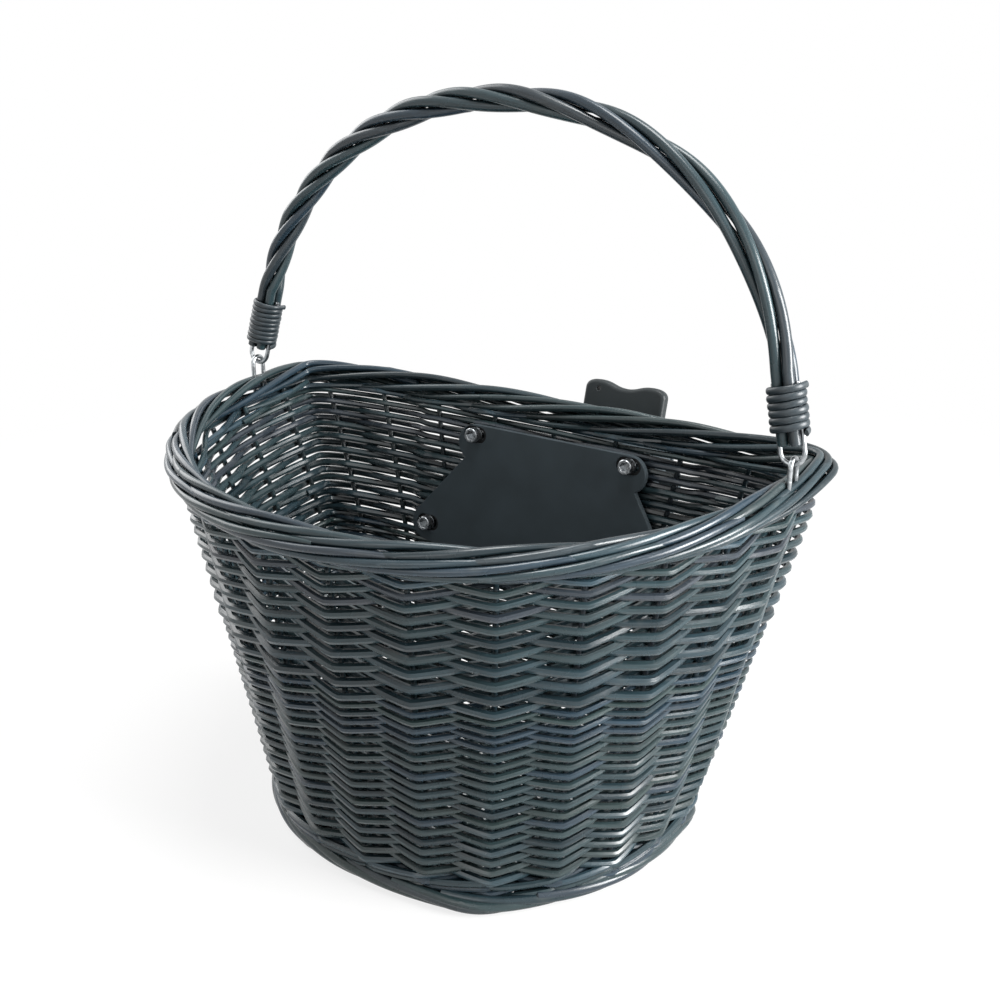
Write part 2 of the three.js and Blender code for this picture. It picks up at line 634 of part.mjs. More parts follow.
// The rods run straight through the bindings and twist only along the arch between them
function twistAt(distance) {
  const straight = HANDLE_LEG_LENGTH - HANDLE_ROD_END;
  const along = THREE.MathUtils.clamp((distance - straight) / (HANDLE_LENGTH - 2 * straight), 0, 1);
  return 2 * Math.PI * HANDLE_TURNS * along;
}

function handleRod(number) {
  const points = [];
  for (let i = 0; i <= HANDLE_STEPS; i += 1) {
    const u = i / HANDLE_STEPS;
    const centre = HANDLE_PATH.getPointAt(u);
    const tangent = HANDLE_PATH.getTangentAt(u);
    const across = new THREE.Vector3().crossVectors(AXIS_Y, tangent);
    const angle = (Math.PI * (2 * number + 1)) / ROD_COUNT + twistAt(u * HANDLE_LENGTH);
    points.push(centre
      .addScaledVector(across, HANDLE_LAY_RADIUS * Math.cos(angle))
      .addScaledVector(AXIS_Y, HANDLE_LAY_RADIUS * Math.sin(angle)));
  }
  return rodAlong(points, HANDLE_ROD_RADIUS);
}

for (let number = 0; number < ROD_COUNT; number += 1) {
  addPiece(handle, `handle_rod_${number + 1}`, handleRod(number), paintedWillow);
}

// Wire loop: its legs lie in the grooves between the rods, its bow hangs in the rim eye
function loopPath() {
  const top = HANDLE_LEG_LENGTH - LOOP_END_MARGIN;
  const points = [new THREE.Vector3(-LOOP_HALF_WIDTH, 0, top)];
  for (let i = 0; i <= LOOP_BOW_STEPS; i += 1) {
    const angle = Math.PI * (1 + i / LOOP_BOW_STEPS);
    points.push(new THREE.Vector3(
      LOOP_HALF_WIDTH * Math.cos(angle), 0, LOOP_HALF_WIDTH * (1 + Math.sin(angle)) - LOOP_DROP,
    ));
  }
  points.push(new THREE.Vector3(LOOP_HALF_WIDTH, 0, top));
  return points;
}

// A helix round the local Z axis whose ends run straight for one strand's width
function helix(radius, pitch, turns, strand, steps) {
  const points = [];
  for (let i = 0; i <= steps * turns; i += 1) {
    const angle = (2 * Math.PI * i) / steps;
    points.push(new THREE.Vector3(radius * Math.cos(angle), radius * Math.sin(angle), (pitch * i) / steps));
  }
  const run = (from, to) => to.clone().sub(from).setLength(strand).add(to);
  const first = run(points[1], points[0]);
  const last = run(points[points.length - 2], points[points.length - 1]);
  return [first, ...points, last];
}

function leastGap(points, strand, steps) {
  let least = Infinity;
  points.forEach((p, i) => {
    for (let j = i + Math.floor(steps / 2); j < points.length; j += 1) {
      least = Math.min(least, p.distanceTo(points[j]) - strand);
    }
  });
  return least;
}

const BINDINGS = [
  ['left', -1, LEFT_BINDING_START, LEFT_BINDING_TURNS, LEFT_BINDING_PITCH, LEFT_BINDING_STRAND],
  ['right', 1, RIGHT_BINDING_START, RIGHT_BINDING_TURNS, RIGHT_BINDING_PITCH, RIGHT_BINDING_STRAND],
];
for (const [side, sign, start, turns, pitch, strand] of BINDINGS) {
  const leg = new THREE.Group();
  leg.position.x = sign * EYE_X;
  leg.rotation.y = -sign * HANDLE_LEG_LEAN;
  handle.add(leg);
  addPiece(leg, `wire_loop_${side}`, rodAlong(loopPath(), WIRE_RADIUS), galvanisedWire);
  const path = helix(BINDING_INNER_RADIUS + strand / 2, pitch, turns, strand, BINDING_STEPS);
  console.log(`binding_${side} least gap ${leastGap(path, strand, BINDING_STEPS).toFixed(2)} mm`);
  addPiece(leg, `binding_${side}`, rodAlong(path, strand / 2), bindingCane)
    .position.z = start + strand / 2;
}

// Plate outline: narrow at the top, splayed to the lower bolts, a round ear at each bolt.
// The lower right ear sits nearer the middle than the lower left one
function plateShape(margin) {
  const [upper, left, right] = [UPPER_BOLT_SPACING / 2, LOWER_LEFT_BOLT_X, LOWER_RIGHT_BOLT_X];
  const row = BOLT_ROW_SPACING / 2;
  const ear = PLATE_EAR_RADIUS - margin;
  const earZ = row + PLATE_TOP_MARGIN - PLATE_EAR_RADIUS;
  const [quarter, half] = [Math.PI / 2, Math.PI];
  const [upperEnd, lowerStart] = [UPPER_EAR_DEG, LOWER_EAR_DEG].map(THREE.MathUtils.degToRad);
  const shape = new THREE.Shape();
  shape.moveTo(-upper, row + PLATE_TOP_MARGIN - margin);
  shape.lineTo(upper, row + PLATE_TOP_MARGIN - margin);
  shape.absarc(upper, earZ, ear, quarter, -upperEnd, true);
  shape.absarc(right, -row, ear, lowerStart, -quarter, true);
  shape.lineTo(right - PLATE_SKIRT, -row - PLATE_SKIRT + margin);
  shape.lineTo(PLATE_SKIRT - left, -row - PLATE_SKIRT + margin);
  shape.absarc(-left, -row, ear, -quarter, -half - lowerStart, true);
  shape.absarc(-upper, earZ, ear, upperEnd - half, -half - quarter, true);
  return shape;
}

function slotShape(x, z, length, radius) {
  const shape = new THREE.Shape();
  const reach = length / 2 - radius;
  shape.absarc(x + reach, z, radius, -Math.PI / 2, Math.PI / 2, false);
  shape.absarc(x - reach, z, radius, Math.PI / 2, Math.PI * 1.5, false);
  return shape;
}

function makeInnerPlate() {
  const front = PLATE_FRONT - CUT_OVERRUN;
  const cuts = BOLT_PLACES.flatMap(([, x, z]) => [
    alongY(slotShape(x, z, SLOT_LENGTH, BOLT_HOLE_RADIUS), front, PLATE_BACK + CUT_OVERRUN),
    alongY(slotShape(x, z, SLOT_RECESS_LENGTH, SLOT_RECESS_RADIUS), front, PLATE_FRONT + SLOT_RECESS_DEPTH),
  ]);
  return cut(alongY(plateShape(0), PLATE_FRONT, PLATE_BACK), cuts);
}

addPiece(mount, 'inner_plate', makeInnerPlate(), blackNylon);

// Fasteners: socket head, washer in the slot's recess, nut on the bracket's flange
const WASHER_BACK = PLATE_FRONT + SLOT_RECESS_DEPTH - SEAT_GAP;
const WASHER_FRONT = WASHER_BACK - WASHER_THICKNESS;
const HEAD_SEAT = WASHER_FRONT - SEAT_GAP;
const NUT_FRONT = FLANGE_BACK + SEAT_GAP;
const BOLT_END = NUT_FRONT + NUT_HEIGHT + BOLT_TAIL;

function makeBolt(x, z) {
  const body = new THREE.LatheGeometry([
    new THREE.Vector2(0, HEAD_SEAT - BOLT_HEAD_HEIGHT),
    new THREE.Vector2(BOLT_HEAD_RADIUS, HEAD_SEAT - BOLT_HEAD_HEIGHT),
    new THREE.Vector2(BOLT_HEAD_RADIUS, HEAD_SEAT),
    new THREE.Vector2(BOLT_RADIUS, HEAD_SEAT),
    new THREE.Vector2(BOLT_RADIUS, BOLT_END),
    new THREE.Vector2(0, BOLT_END),
  ], FASTENER_SIDES).translate(x, 0, z);
  const top = HEAD_SEAT - BOLT_HEAD_HEIGHT;
  return cut(body, [
    cylinderY(BOLT_SOCKET_RADIUS, top - CUT_OVERRUN, top + BOLT_SOCKET_DEPTH, x, z, HEX_SIDES),
  ]);
}

function makeWasher(x, z) {
  return new THREE.LatheGeometry([
    new THREE.Vector2(BOLT_HOLE_RADIUS, WASHER_FRONT),
    new THREE.Vector2(WASHER_RADIUS, WASHER_FRONT),
    new THREE.Vector2(WASHER_RADIUS, WASHER_BACK),
    new THREE.Vector2(BOLT_HOLE_RADIUS, WASHER_BACK),
    new THREE.Vector2(BOLT_HOLE_RADIUS, WASHER_FRONT),
  ], FASTENER_SIDES).translate(x, 0, z);
}

function makeNut(x, z) {
  const back = NUT_FRONT + NUT_HEIGHT;
  const hexagon = cylinderY(NUT_RADIUS, NUT_FRONT, back, x, z, HEX_SIDES);
  return cut(hexagon, [cylinderY(BOLT_RADIUS + SEAT_GAP, NUT_FRONT - CUT_OVERRUN, back + CUT_OVERRUN, x, z)]);
}

for (const [place, x, z] of BOLT_PLACES) {
  addPiece(mount, `bolt_${place}`, makeBolt(x, z), zincSteel);
  addPiece(mount, `washer_${place}`, makeWasher(x, z), zincSteel);
  addPiece(mount, `nut_${place}`, makeNut(x, z), zincSteel);
}

// Bracket: flange against the wall and a T rail with a pocket that the lever's nose catches in
function makeBracket() {
  const middle = RAIL_OFFSET_X;
  const rail = (half, from, to) => block([middle - half, middle + half], [from, to], [RAIL_BOTTOM, RAIL_TOP]);
  const body = join([
    alongY(plateShape(FLANGE_INSET), SEAT_GAP, FLANGE_BACK),
    rail(RAIL_NECK_HALF_WIDTH, FLANGE_BACK - FLANGE_THICKNESS / 2, HEAD_BACK),
    rail(RAIL_HEAD_HALF_WIDTH, HEAD_FRONT, HEAD_BACK),
  ]);
  const catchHalf = LEVER_ARM_HALF_WIDTH + RUNNING_GAP;
  return cut(body, [
    ...BOLT_PLACES.map(([, x, z]) => cylinderY(
      BOLT_HOLE_RADIUS, SEAT_GAP - CUT_OVERRUN, FLANGE_BACK + CUT_OVERRUN, x, z,
    )),
    block(
      [middle - catchHalf, middle + catchHalf], [HEAD_BACK - CATCH_DEPTH, HEAD_BACK + CUT_OVERRUN],
      [CATCH_BOTTOM, CATCH_TOP],
    ),
  ]);
}

addPiece(mount, 'bracket_rail', makeBracket(), blackNylon);

// Adapter: a housing with a T slot open at the top, a slot for the lever's arm and two bar saddles
function roundedBox(halfWidth, bottom, top, corner) {
  const shape = new THREE.Shape();
  shape.absarc(halfWidth - corner, bottom + corner, corner, -Math.PI / 2, 0, false);
  shape.absarc(halfWidth - corner, top - corner, corner, 0, Math.PI / 2, false);
  shape.absarc(corner - halfWidth, top - corner, corner, Math.PI / 2, Math.PI, false);
  shape.absarc(corner - halfWidth, bottom + corner, corner, Math.PI, Math.PI * 1.5, false);
  return shape;
}

const CLAMP_PLACES = [['left', -CLAMP_SPACING / 2], ['right', CLAMP_SPACING / 2]];
const CLAMP_OUTER = BAR_RADIUS + RUNNING_GAP + CLAMP_WALL;
const CLAMP_SCREW_Z = CLAMP_OUTER + CLAMP_SCREW_HEAD_RADIUS + RUNNING_GAP;
const CLAMP_EAR_EDGE = CLAMP_SCREW_Z + CLAMP_SCREW_HEAD_RADIUS + CLAMP_EAR_MARGIN;
const SADDLE_FACE = BAR_Y - CLAMP_SPLIT / 2;

function makeAdapter() {
  const bottom = RAIL_BOTTOM - ADAPTER_FLOOR;
  const above = ADAPTER_TOP + CUT_OVERRUN;
  const neck = RAIL_NECK_HALF_WIDTH + RUNNING_GAP;
  const head = RAIL_HEAD_HALF_WIDTH + RUNNING_GAP;
  const arm = LEVER_ARM_HALF_WIDTH + RUNNING_GAP;
  const slotFloor = RAIL_BOTTOM - SEAT_GAP;
  const saddles = CLAMP_PLACES.map(([, x]) => block(
    [x - CLAMP_WIDTH / 2, x + CLAMP_WIDTH / 2], [ADAPTER_BACK - ADAPTER_BACK_WALL / 2, SADDLE_FACE],
    [-CLAMP_EAR_EDGE, CLAMP_EAR_EDGE],
  ));
  const body = join([
    alongY(roundedBox(ADAPTER_HALF_WIDTH, bottom, ADAPTER_TOP, ADAPTER_EDGE_ROUND),
      FLANGE_BACK + RUNNING_GAP, ADAPTER_BACK),
    ...saddles,
  ]);
  const pinHalf = LEVER_PIN_LENGTH / 2 + SEAT_GAP;
  const barHalf = (CLAMP_SPACING + CLAMP_WIDTH) / 2 + CUT_OVERRUN;
  const screwHoles = CLAMP_PLACES.flatMap(([, x]) => [-CLAMP_SCREW_Z, CLAMP_SCREW_Z].map((z) => cylinderY(
    CLAMP_SCREW_RADIUS + SEAT_GAP, SADDLE_FACE - CLAMP_SCREW_LENGTH, SADDLE_FACE + CUT_OVERRUN, x, z,
  )));
  return cut(body, [
    block([-neck, neck], [FLANGE_BACK - CUT_OVERRUN, HEAD_BACK], [slotFloor, above]),
    block([-head, head], [HEAD_FRONT - RUNNING_GAP, HEAD_BACK + RUNNING_GAP], [slotFloor, above]),
    block([-arm, arm], [HEAD_BACK, ARM_SLOT_BACK], [ARM_SLOT_FLOOR, above]),
    block([-arm, arm], [HEAD_BACK, ADAPTER_BACK + CUT_OVERRUN], [LEVER_PIN_Z - LEVER_HUB_RADIUS, above]),
    cylinderX(LEVER_PIN_RADIUS + SEAT_GAP, -pinHalf, pinHalf, LEVER_PIN_Y, LEVER_PIN_Z),
    cylinderX(BAR_RADIUS + RUNNING_GAP, -barHalf, barHalf, BAR_Y, 0, BAR_SIDES),
    ...screwHoles,
  ]);
}

addPiece(latch, 'bar_adapter', makeAdapter(), blackNylon);

// Release lever: hooked arm below the pin, wide thumb tab above it with a saddle-shaped top edge
function tabOutline() {
  const [half, bump, ease] = [LEVER_TAB_HALF_WIDTH, LEVER_BUMP_X, LEVER_BUMP_EASE];
  const top = LEVER_TAB_TOP;
  const [dip, shoulder] = [top - LEVER_TAB_DIP, top - LEVER_TAB_CORNER];
  const shape = new THREE.Shape();
  shape.moveTo(-half, LEVER_TAB_BOTTOM);
  shape.lineTo(half, LEVER_TAB_BOTTOM);
  shape.lineTo(half, shoulder);
  shape.quadraticCurveTo(half, top, bump, top);
  shape.bezierCurveTo(bump - ease, top, ease, dip, 0, dip);
  shape.bezierCurveTo(-ease, dip, ease - bump, top, -bump, top);
  shape.quadraticCurveTo(-half, top, -half, shoulder);
  return shape;
}

const NOSE_TIP = HEAD_BACK - LEVER_NOSE_REACH;

function makeLever() {
  const armHalf = LEVER_ARM_HALF_WIDTH;
  const tabProfile = polygon([
    [LEVER_TAB_FRONT, LEVER_TAB_BOTTOM], [LEVER_TAB_BACK, LEVER_TAB_BOTTOM],
    [LEVER_TAB_BACK + LEVER_TAB_LEAN, LEVER_TAB_TOP], [LEVER_TAB_FRONT + LEVER_TAB_LEAN, LEVER_TAB_TOP],
  ]);
  const [behind, before] = [LEVER_TAB_FRONT - CUT_OVERRUN, LEVER_TAB_BACK + LEVER_TAB_LEAN + CUT_OVERRUN];
  const tab = common(
    alongX(tabProfile, -LEVER_TAB_HALF_WIDTH, LEVER_TAB_HALF_WIDTH),
    alongY(tabOutline(), behind, before),
  );
  const noseTop = CATCH_TOP - 2 * RUNNING_GAP;
  const noseBottom = CATCH_BOTTOM + LEVER_NOSE_SWING;
  const armProfile = polygon([
    [NOSE_TIP, noseBottom], [ARM_BACK, noseBottom], [ARM_BACK, LEVER_PIN_Z - LEVER_HUB_RADIUS],
    [LEVER_PIN_Y + LEVER_HUB_RADIUS, LEVER_PIN_Z], [LEVER_TAB_BACK, LEVER_TAB_BOTTOM],
    [LEVER_TAB_FRONT + LEVER_TAB_THICKNESS / 2, LEVER_TAB_BOTTOM + LEVER_WEB_HEIGHT],
    [LEVER_PIN_Y, LEVER_PIN_Z + LEVER_HUB_RADIUS + LEVER_WEB_RISE],
    [ARM_FRONT, LEVER_PIN_Z], [ARM_FRONT, noseTop], [NOSE_TIP, noseTop - LEVER_NOSE_REACH],
  ]);
  const hub = cylinderX(LEVER_HUB_RADIUS, -armHalf, armHalf, LEVER_PIN_Y, LEVER_PIN_Z, HUB_SIDES);
  const body = join([alongX(armProfile, -armHalf, armHalf), hub, tab]);
  const bore = armHalf + CUT_OVERRUN;
  return cut(body, [
    cylinderX(LEVER_PIN_RADIUS + SEAT_GAP, -bore, bore, LEVER_PIN_Y, LEVER_PIN_Z),
    cylinderY(LEVER_HOLE_RADIUS, behind, before, -LEVER_BUMP_X, LEVER_TAB_TOP - LEVER_HOLE_DROP),
  ]);
}

addPiece(latch, 'release_lever', makeLever(), leverNylon);
addPiece(latch, 'lever_pin', cylinderX(
  LEVER_PIN_RADIUS, -LEVER_PIN_LENGTH / 2, LEVER_PIN_LENGTH / 2, LEVER_PIN_Y, LEVER_PIN_Z,
), zincSteel);

// Return spring: a coil between the lever's arm and the back of its slot
function makeSpring() {
  const strand = 2 * SPRING_WIRE_RADIUS;
  const room = SPRING_ROOM - 2 * SEAT_GAP - 2 * strand;
  const middle = CATCH_BOTTOM + SPRING_RISE;
  const coil = [];
  for (let i = 0; i <= SPRING_STEPS * SPRING_TURNS; i += 1) {
    const angle = (2 * Math.PI * i) / SPRING_STEPS;
    const y = ARM_BACK + SEAT_GAP + strand + (room * i) / (SPRING_STEPS * SPRING_TURNS);
    coil.push(new THREE.Vector3(
      SPRING_RADIUS * Math.cos(angle), y, middle + SPRING_RADIUS * Math.sin(angle),
    ));
  }
  console.log(`lever_spring least gap ${leastGap(coil, strand, SPRING_STEPS).toFixed(2)} mm`);
  const lead = coil[0].clone().add(new THREE.Vector3(0, -strand, 0));
  const tail = coil[coil.length - 1].clone().add(new THREE.Vector3(0, strand, 0));
  return rodAlong([lead, ...coil, tail], SPRING_WIRE_RADIUS, SPRING_SIDES);
}

addPiece(latch, 'lever_spring', makeSpring(), zincSteel);

// Clamp caps close the saddles round the bar, two screws each
function capShape() {
  const inner = BAR_RADIUS + RUNNING_GAP;
  const face = BAR_Y + CLAMP_SPLIT / 2;
  const shape = new THREE.Shape();
  const start = Math.asin(CLAMP_SPLIT / 2 / inner);
  shape.moveTo(face, CLAMP_EAR_EDGE);
  shape.absarc(BAR_Y, 0, inner, Math.PI / 2 - start, start - Math.PI / 2, true);
  shape.lineTo(face, -CLAMP_EAR_EDGE);
  shape.lineTo(face + CLAMP_WALL, -CLAMP_EAR_EDGE);
  const shoulder = Math.asin((CLAMP_SPLIT / 2 + CLAMP_WALL) / CLAMP_OUTER);
  shape.absarc(BAR_Y, 0, CLAMP_OUTER, shoulder - Math.PI / 2, Math.PI / 2 - shoulder, false);
  shape.lineTo(face + CLAMP_WALL, CLAMP_EAR_EDGE);
  return shape;
}

function makeCap(x) {
  const cap = alongX(capShape(), x - CLAMP_WIDTH / 2, x + CLAMP_WIDTH / 2, BAR_SIDES / 2);
  return cut(cap, [-CLAMP_SCREW_Z, CLAMP_SCREW_Z].map((z) => cylinderY(
    CLAMP_SCREW_RADIUS + SEAT_GAP, BAR_Y, BAR_Y + 2 * CLAMP_WALL, x, z,
  )));
}

function makeClampScrew(x, z) {
  const seat = BAR_Y + CLAMP_SPLIT / 2 + CLAMP_WALL + SEAT_GAP;
  return new THREE.LatheGeometry([
    new THREE.Vector2(0, seat - CLAMP_SCREW_LENGTH),
    new THREE.Vector2(CLAMP_SCREW_RADIUS, seat - CLAMP_SCREW_LENGTH),
    new THREE.Vector2(CLAMP_SCREW_RADIUS, seat),
    new THREE.Vector2(CLAMP_SCREW_HEAD_RADIUS, seat),
    new THREE.Vector2(CLAMP_SCREW_HEAD_RADIUS, seat + CLAMP_SCREW_HEAD_HEIGHT),
    new THREE.Vector2(0, seat + CLAMP_SCREW_HEAD_HEIGHT),
  ], FASTENER_SIDES).translate(x, 0, z);
}

for (const [side, x] of CLAMP_PLACES) {
  addPiece(latch, `clamp_cap_${side}`, makeCap(x), blackNylon);
  addPiece(latch, `clamp_screw_${side}_upper`, makeClampScrew(x, CLAMP_SCREW_Z), zincSteel);
  addPiece(latch, `clamp_screw_${side}_lower`, makeClampScrew(x, -CLAMP_SCREW_Z), zincSteel);
}

// Origin: on the floor, in the middle of the whole object's front-to-back length
const extent = new THREE.Box3().setFromObject(basket, true);
basket.position.y = -(extent.min.y + extent.max.y) / 2;

export default basket;
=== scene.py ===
# %% [markdown]
# # A woven bicycle basket
# The solids come in first, as a fixed frame in metres. Everything made below is laid over
# them: single willow rods where the solids have smooth walls and ropes, turned screws where they have
# plain ones, and a finish for every surface.

# %% Load the frame
import math

import bmesh
import bpy
import numpy as np
from mathutils import Matrix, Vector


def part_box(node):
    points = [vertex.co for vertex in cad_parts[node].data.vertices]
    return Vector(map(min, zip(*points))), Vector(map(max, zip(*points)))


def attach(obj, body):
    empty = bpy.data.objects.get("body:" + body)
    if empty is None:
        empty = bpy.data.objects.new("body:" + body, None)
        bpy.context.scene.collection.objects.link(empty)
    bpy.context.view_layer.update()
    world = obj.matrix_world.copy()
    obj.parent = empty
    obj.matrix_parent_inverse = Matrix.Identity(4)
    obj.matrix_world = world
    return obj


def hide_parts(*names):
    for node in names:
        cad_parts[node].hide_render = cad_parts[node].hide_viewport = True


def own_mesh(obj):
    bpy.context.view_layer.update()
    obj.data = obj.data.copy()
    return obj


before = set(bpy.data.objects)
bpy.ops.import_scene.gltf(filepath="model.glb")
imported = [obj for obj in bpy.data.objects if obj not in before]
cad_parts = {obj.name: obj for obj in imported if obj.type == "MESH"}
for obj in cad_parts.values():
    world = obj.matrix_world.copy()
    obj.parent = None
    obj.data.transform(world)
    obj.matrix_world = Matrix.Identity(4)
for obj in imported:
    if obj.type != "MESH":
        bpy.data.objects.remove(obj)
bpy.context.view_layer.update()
scene = bpy.context.scene
scene.view_settings.view_transform = "Standard"

# %% [markdown]
# ## The camera
# The lens was found from the outlines in the photograph: the rim, the foot and the handle fix where
# the camera stood and how long its lens was. A square frame with no shift is enough.

# %% Camera
camera = bpy.data.objects.new("camera", bpy.data.cameras.new("camera"))
camera.data.sensor_width = 36.0
camera.data.lens = 48.71
CAMERA_PLACE = (0.38176, -0.57024, 0.46305)
CAMERA_TURNS = [(32.63, "Z"), (67.70, "X"), (-0.53, "Z")]
aim = Matrix.Translation(CAMERA_PLACE)
for degrees, axis in CAMERA_TURNS:
    aim = aim @ Matrix.Rotation(math.radians(degrees), 4, axis)
camera.matrix_world = aim
scene.collection.objects.link(camera)
scene.camera = camera
print("camera lens", camera.data.lens, "mm")

# %% [markdown]
# ## Two helpers for finishes
# Colours are written as sRGB hex, as a paint chart gives them, and turned to the linear values that
# the shader works in. One function adds a node with its settings and its links.

# %% Colour and node helpers
MM = 0.001


def linear(hex_code):
    channels = [int(hex_code[i:i + 2], 16) / 255 for i in (1, 3, 5)]
    return [c / 12.92 if c <= 0.04045 else ((c + 0.055) / 1.055) ** 2.4 for c in channels] + [1.0]


def add_node(tree, kind, inputs=None, **settings):
    node = tree.nodes.new(kind)
    for key, value in settings.items():
        setattr(node, key, value)
    for key, value in (inputs or {}).items():
        if isinstance(value, bpy.types.NodeSocket):
            tree.links.new(value, node.inputs[key])
        else:
            node.inputs[key].default_value = value
    return node


def start_finish(name):
    material = bpy.data.materials.new(name)
    material.use_nodes = True
    return material, material.node_tree, material.node_tree.nodes["Principled BSDF"]


def fill_ramp(ramp, stops):
    points = ramp.color_ramp.elements
    while len(points) < len(stops):
        points.new(0.5)
    for point, (place, colour) in zip(points, stops):
        point.position = place
        point.color = colour if not isinstance(colour, str) else linear(colour)


print("slate", [round(c, 4) for c in linear("#39444b")])

# %% [markdown]
# ## Painted willow
# The rods are peeled willow dipped in a dark slate paint. The paint is thin: the fine grain of the
# wood still shows as streaks along each rod, and no two rods took quite the same tint, so some lean to
# green, some to violet. It dried to a satin, which gives every rod a soft pale line where it faces the
# light. Shade is painted into the hollows between the rods: ambient occlusion over a few millimetres
# darkens the colour there and lowers the reflection, from any side. Each rod carries its own straight
# coordinates and its own tone as mesh attributes, so the grain follows the rod round every bend.

# %% Painted willow finish
GRAIN_WIDTH = 0.9 * MM
GRAIN_STRETCH = 0.05
PATCH_SIZE = 16 * MM
HOLLOW_WIDTH = 5 * MM
FULL_SHEEN = 0.5


def painted_willow(name, tints, wear, rough):
    material, tree, surface = start_finish(name)
    place = add_node(tree, "ShaderNodeAttribute", attribute_name="rod_place").outputs["Vector"]
    tone = add_node(tree, "ShaderNodeAttribute", attribute_name="rod_tone").outputs["Fac"]
    drawn = add_node(tree, "ShaderNodeMapping", {"Vector": place, "Scale": (1, 1, GRAIN_STRETCH)})
    grain = add_node(tree, "ShaderNodeTexNoise", {
        "Vector": drawn.outputs["Vector"], "Scale": 1 / GRAIN_WIDTH, "Detail": 3.0, "Roughness": 0.6})
    patch = add_node(tree, "ShaderNodeTexNoise", {"Vector": place, "Scale": 1 / PATCH_SIZE, "Detail": 4.0})
    tint = add_node(tree, "ShaderNodeValToRGB", {"Fac": tone})
    fill_ramp(tint, [(i / (len(tints) - 1), colour) for i, colour in enumerate(tints)])
    shade = add_node(tree, "ShaderNodeMapRange", {
        "Value": grain.outputs["Fac"], "From Min": 0.3, "From Max": 0.7, "To Min": 0.72, "To Max": 1.22})
    streaked = add_node(tree, "ShaderNodeMix", {
        0: 1.0, 6: tint.outputs["Color"], 7: shade.outputs["Result"]},
        data_type="RGBA", blend_type="MULTIPLY")
    # Painted shade: ambient occlusion darkens the colour and lowers the reflection in the hollows between
    # rods.
    hollow = add_node(tree, "ShaderNodeAmbientOcclusion", {"Distance": HOLLOW_WIDTH}, samples=4)
    hollow_painted_shade = add_node(tree, "ShaderNodeMapRange", {
        "Value": hollow.outputs["AO"], "From Min": 0.15, "From Max": 0.75, "To Min": 0.25, "To Max": 1.0})
    sheen = add_node(tree, "ShaderNodeMath", {
        0: hollow_painted_shade.outputs["Result"], 1: FULL_SHEEN}, operation="MULTIPLY")
    thin = add_node(tree, "ShaderNodeMapRange", {
        "Value": patch.outputs["Fac"], "From Min": 0.60, "From Max": 0.78, "To Min": 0.0, "To Max": 0.40})
    worn = add_node(tree, "ShaderNodeMix", {
        0: thin.outputs["Result"], 6: streaked.outputs[2], 7: linear(wear)}, data_type="RGBA")
    shaded_paint = add_node(tree, "ShaderNodeMix", {
        0: 1.0, 6: worn.outputs[2], 7: hollow_painted_shade.outputs["Result"]}, data_type="RGBA", blend_type="MULTIPLY")
    satin = add_node(tree, "ShaderNodeMapRange", {
        "Value": patch.outputs["Fac"], "From Min": 0.3, "From Max": 0.7,
        "To Min": rough - 0.06, "To Max": rough + 0.08})
    ridge = add_node(tree, "ShaderNodeBump", {
        "Height": grain.outputs["Fac"], "Strength": 0.5, "Distance": 0.12 * MM})
    tree.links.new(shaded_paint.outputs[2], surface.inputs["Base Color"])
    tree.links.new(sheen.outputs[0], surface.inputs["Specular IOR Level"])
    tree.links.new(satin.outputs["Result"], surface.inputs["Roughness"])
    tree.links.new(ridge.outputs["Normal"], surface.inputs["Normal"])
    surface.inputs["IOR"].default_value = 1.5
    return material


SLATE_TINTS = ["#1a262b", "#25353b", "#2a383a", "#23343f", "#2e353c", "#293736", "#2c3f4a"]
willow_paint = painted_willow("willow_slate_paint_satin", SLATE_TINTS, "#484c49", 0.25)
binding_paint = painted_willow("cane_binding_slate_paint", ["#1d2428", "#2a3338", "#31393c"], "#40443f", 0.38)
print("painted rods:", willow_paint.name, binding_paint.name)

# %% [markdown]
# ## Metals and nylon
# The hangers are hot-dip galvanised wire: zinc that froze in pale and dull grains a millimetre or two
# across. The screws are zinc plated, smoother, with faint turning marks. The bracket is moulded black
# nylon with a fine spark-eroded grain, which takes only a broad dull shine. The floors of its screw
# recesses get a near-black painted shade, and the thumb lever has been handled, so its edges are rubbed
# paler.

# %% Metal finishes
def plated_metal(name, pale, dull, grain_size, rough):
    material, tree, surface = start_finish(name)
    where = add_node(tree, "ShaderNodeTexCoord").outputs["Object"]
    cells = add_node(tree, "ShaderNodeTexVoronoi", {"Vector": where, "Scale": 1 / grain_size})
    haze = add_node(tree, "ShaderNodeTexNoise", {"Vector": where, "Scale": 0.35 / grain_size, "Detail": 4.0})
    mixed = add_node(tree, "ShaderNodeMath", {
        0: cells.outputs["Color"], 1: haze.outputs["Fac"]}, operation="MULTIPLY")
    colour = add_node(tree, "ShaderNodeValToRGB", {"Fac": mixed.outputs[0]})
    fill_ramp(colour, [(0.05, dull), (0.6, pale)])
    gloss = add_node(tree, "ShaderNodeMapRange", {
        "Value": haze.outputs["Fac"], "From Min": 0.3, "From Max": 0.7,
        "To Min": rough - 0.07, "To Max": rough + 0.10})
    ripple = add_node(tree, "ShaderNodeBump", {
        "Height": haze.outputs["Fac"], "Strength": 0.3, "Distance": 0.1 * MM})
    tree.links.new(colour.outputs["Color"], surface.inputs["Base Color"])
    tree.links.new(gloss.outputs["Result"], surface.inputs["Roughness"])
    tree.links.new(ripple.outputs["Normal"], surface.inputs["Normal"])
    surface.inputs["Metallic"].default_value = 1.0
    return material


galvanised_wire = plated_metal("galvanised_steel_wire", "#d3d6d8", "#8e9396", 1.6 * MM, 0.34)
zinc_steel = plated_metal("zinc_plated_steel", "#c3c6c8", "#8b8f92", 0.8 * MM, 0.27)
dark_steel = plated_metal("zinc_plated_screw_steel", "#7d8184", "#54585b", 0.8 * MM, 0.33)
print("metals:", galvanised_wire.name, zinc_steel.name, dark_steel.name)


# %% Nylon finishes
CLOUD_SIZE = 22 * MM


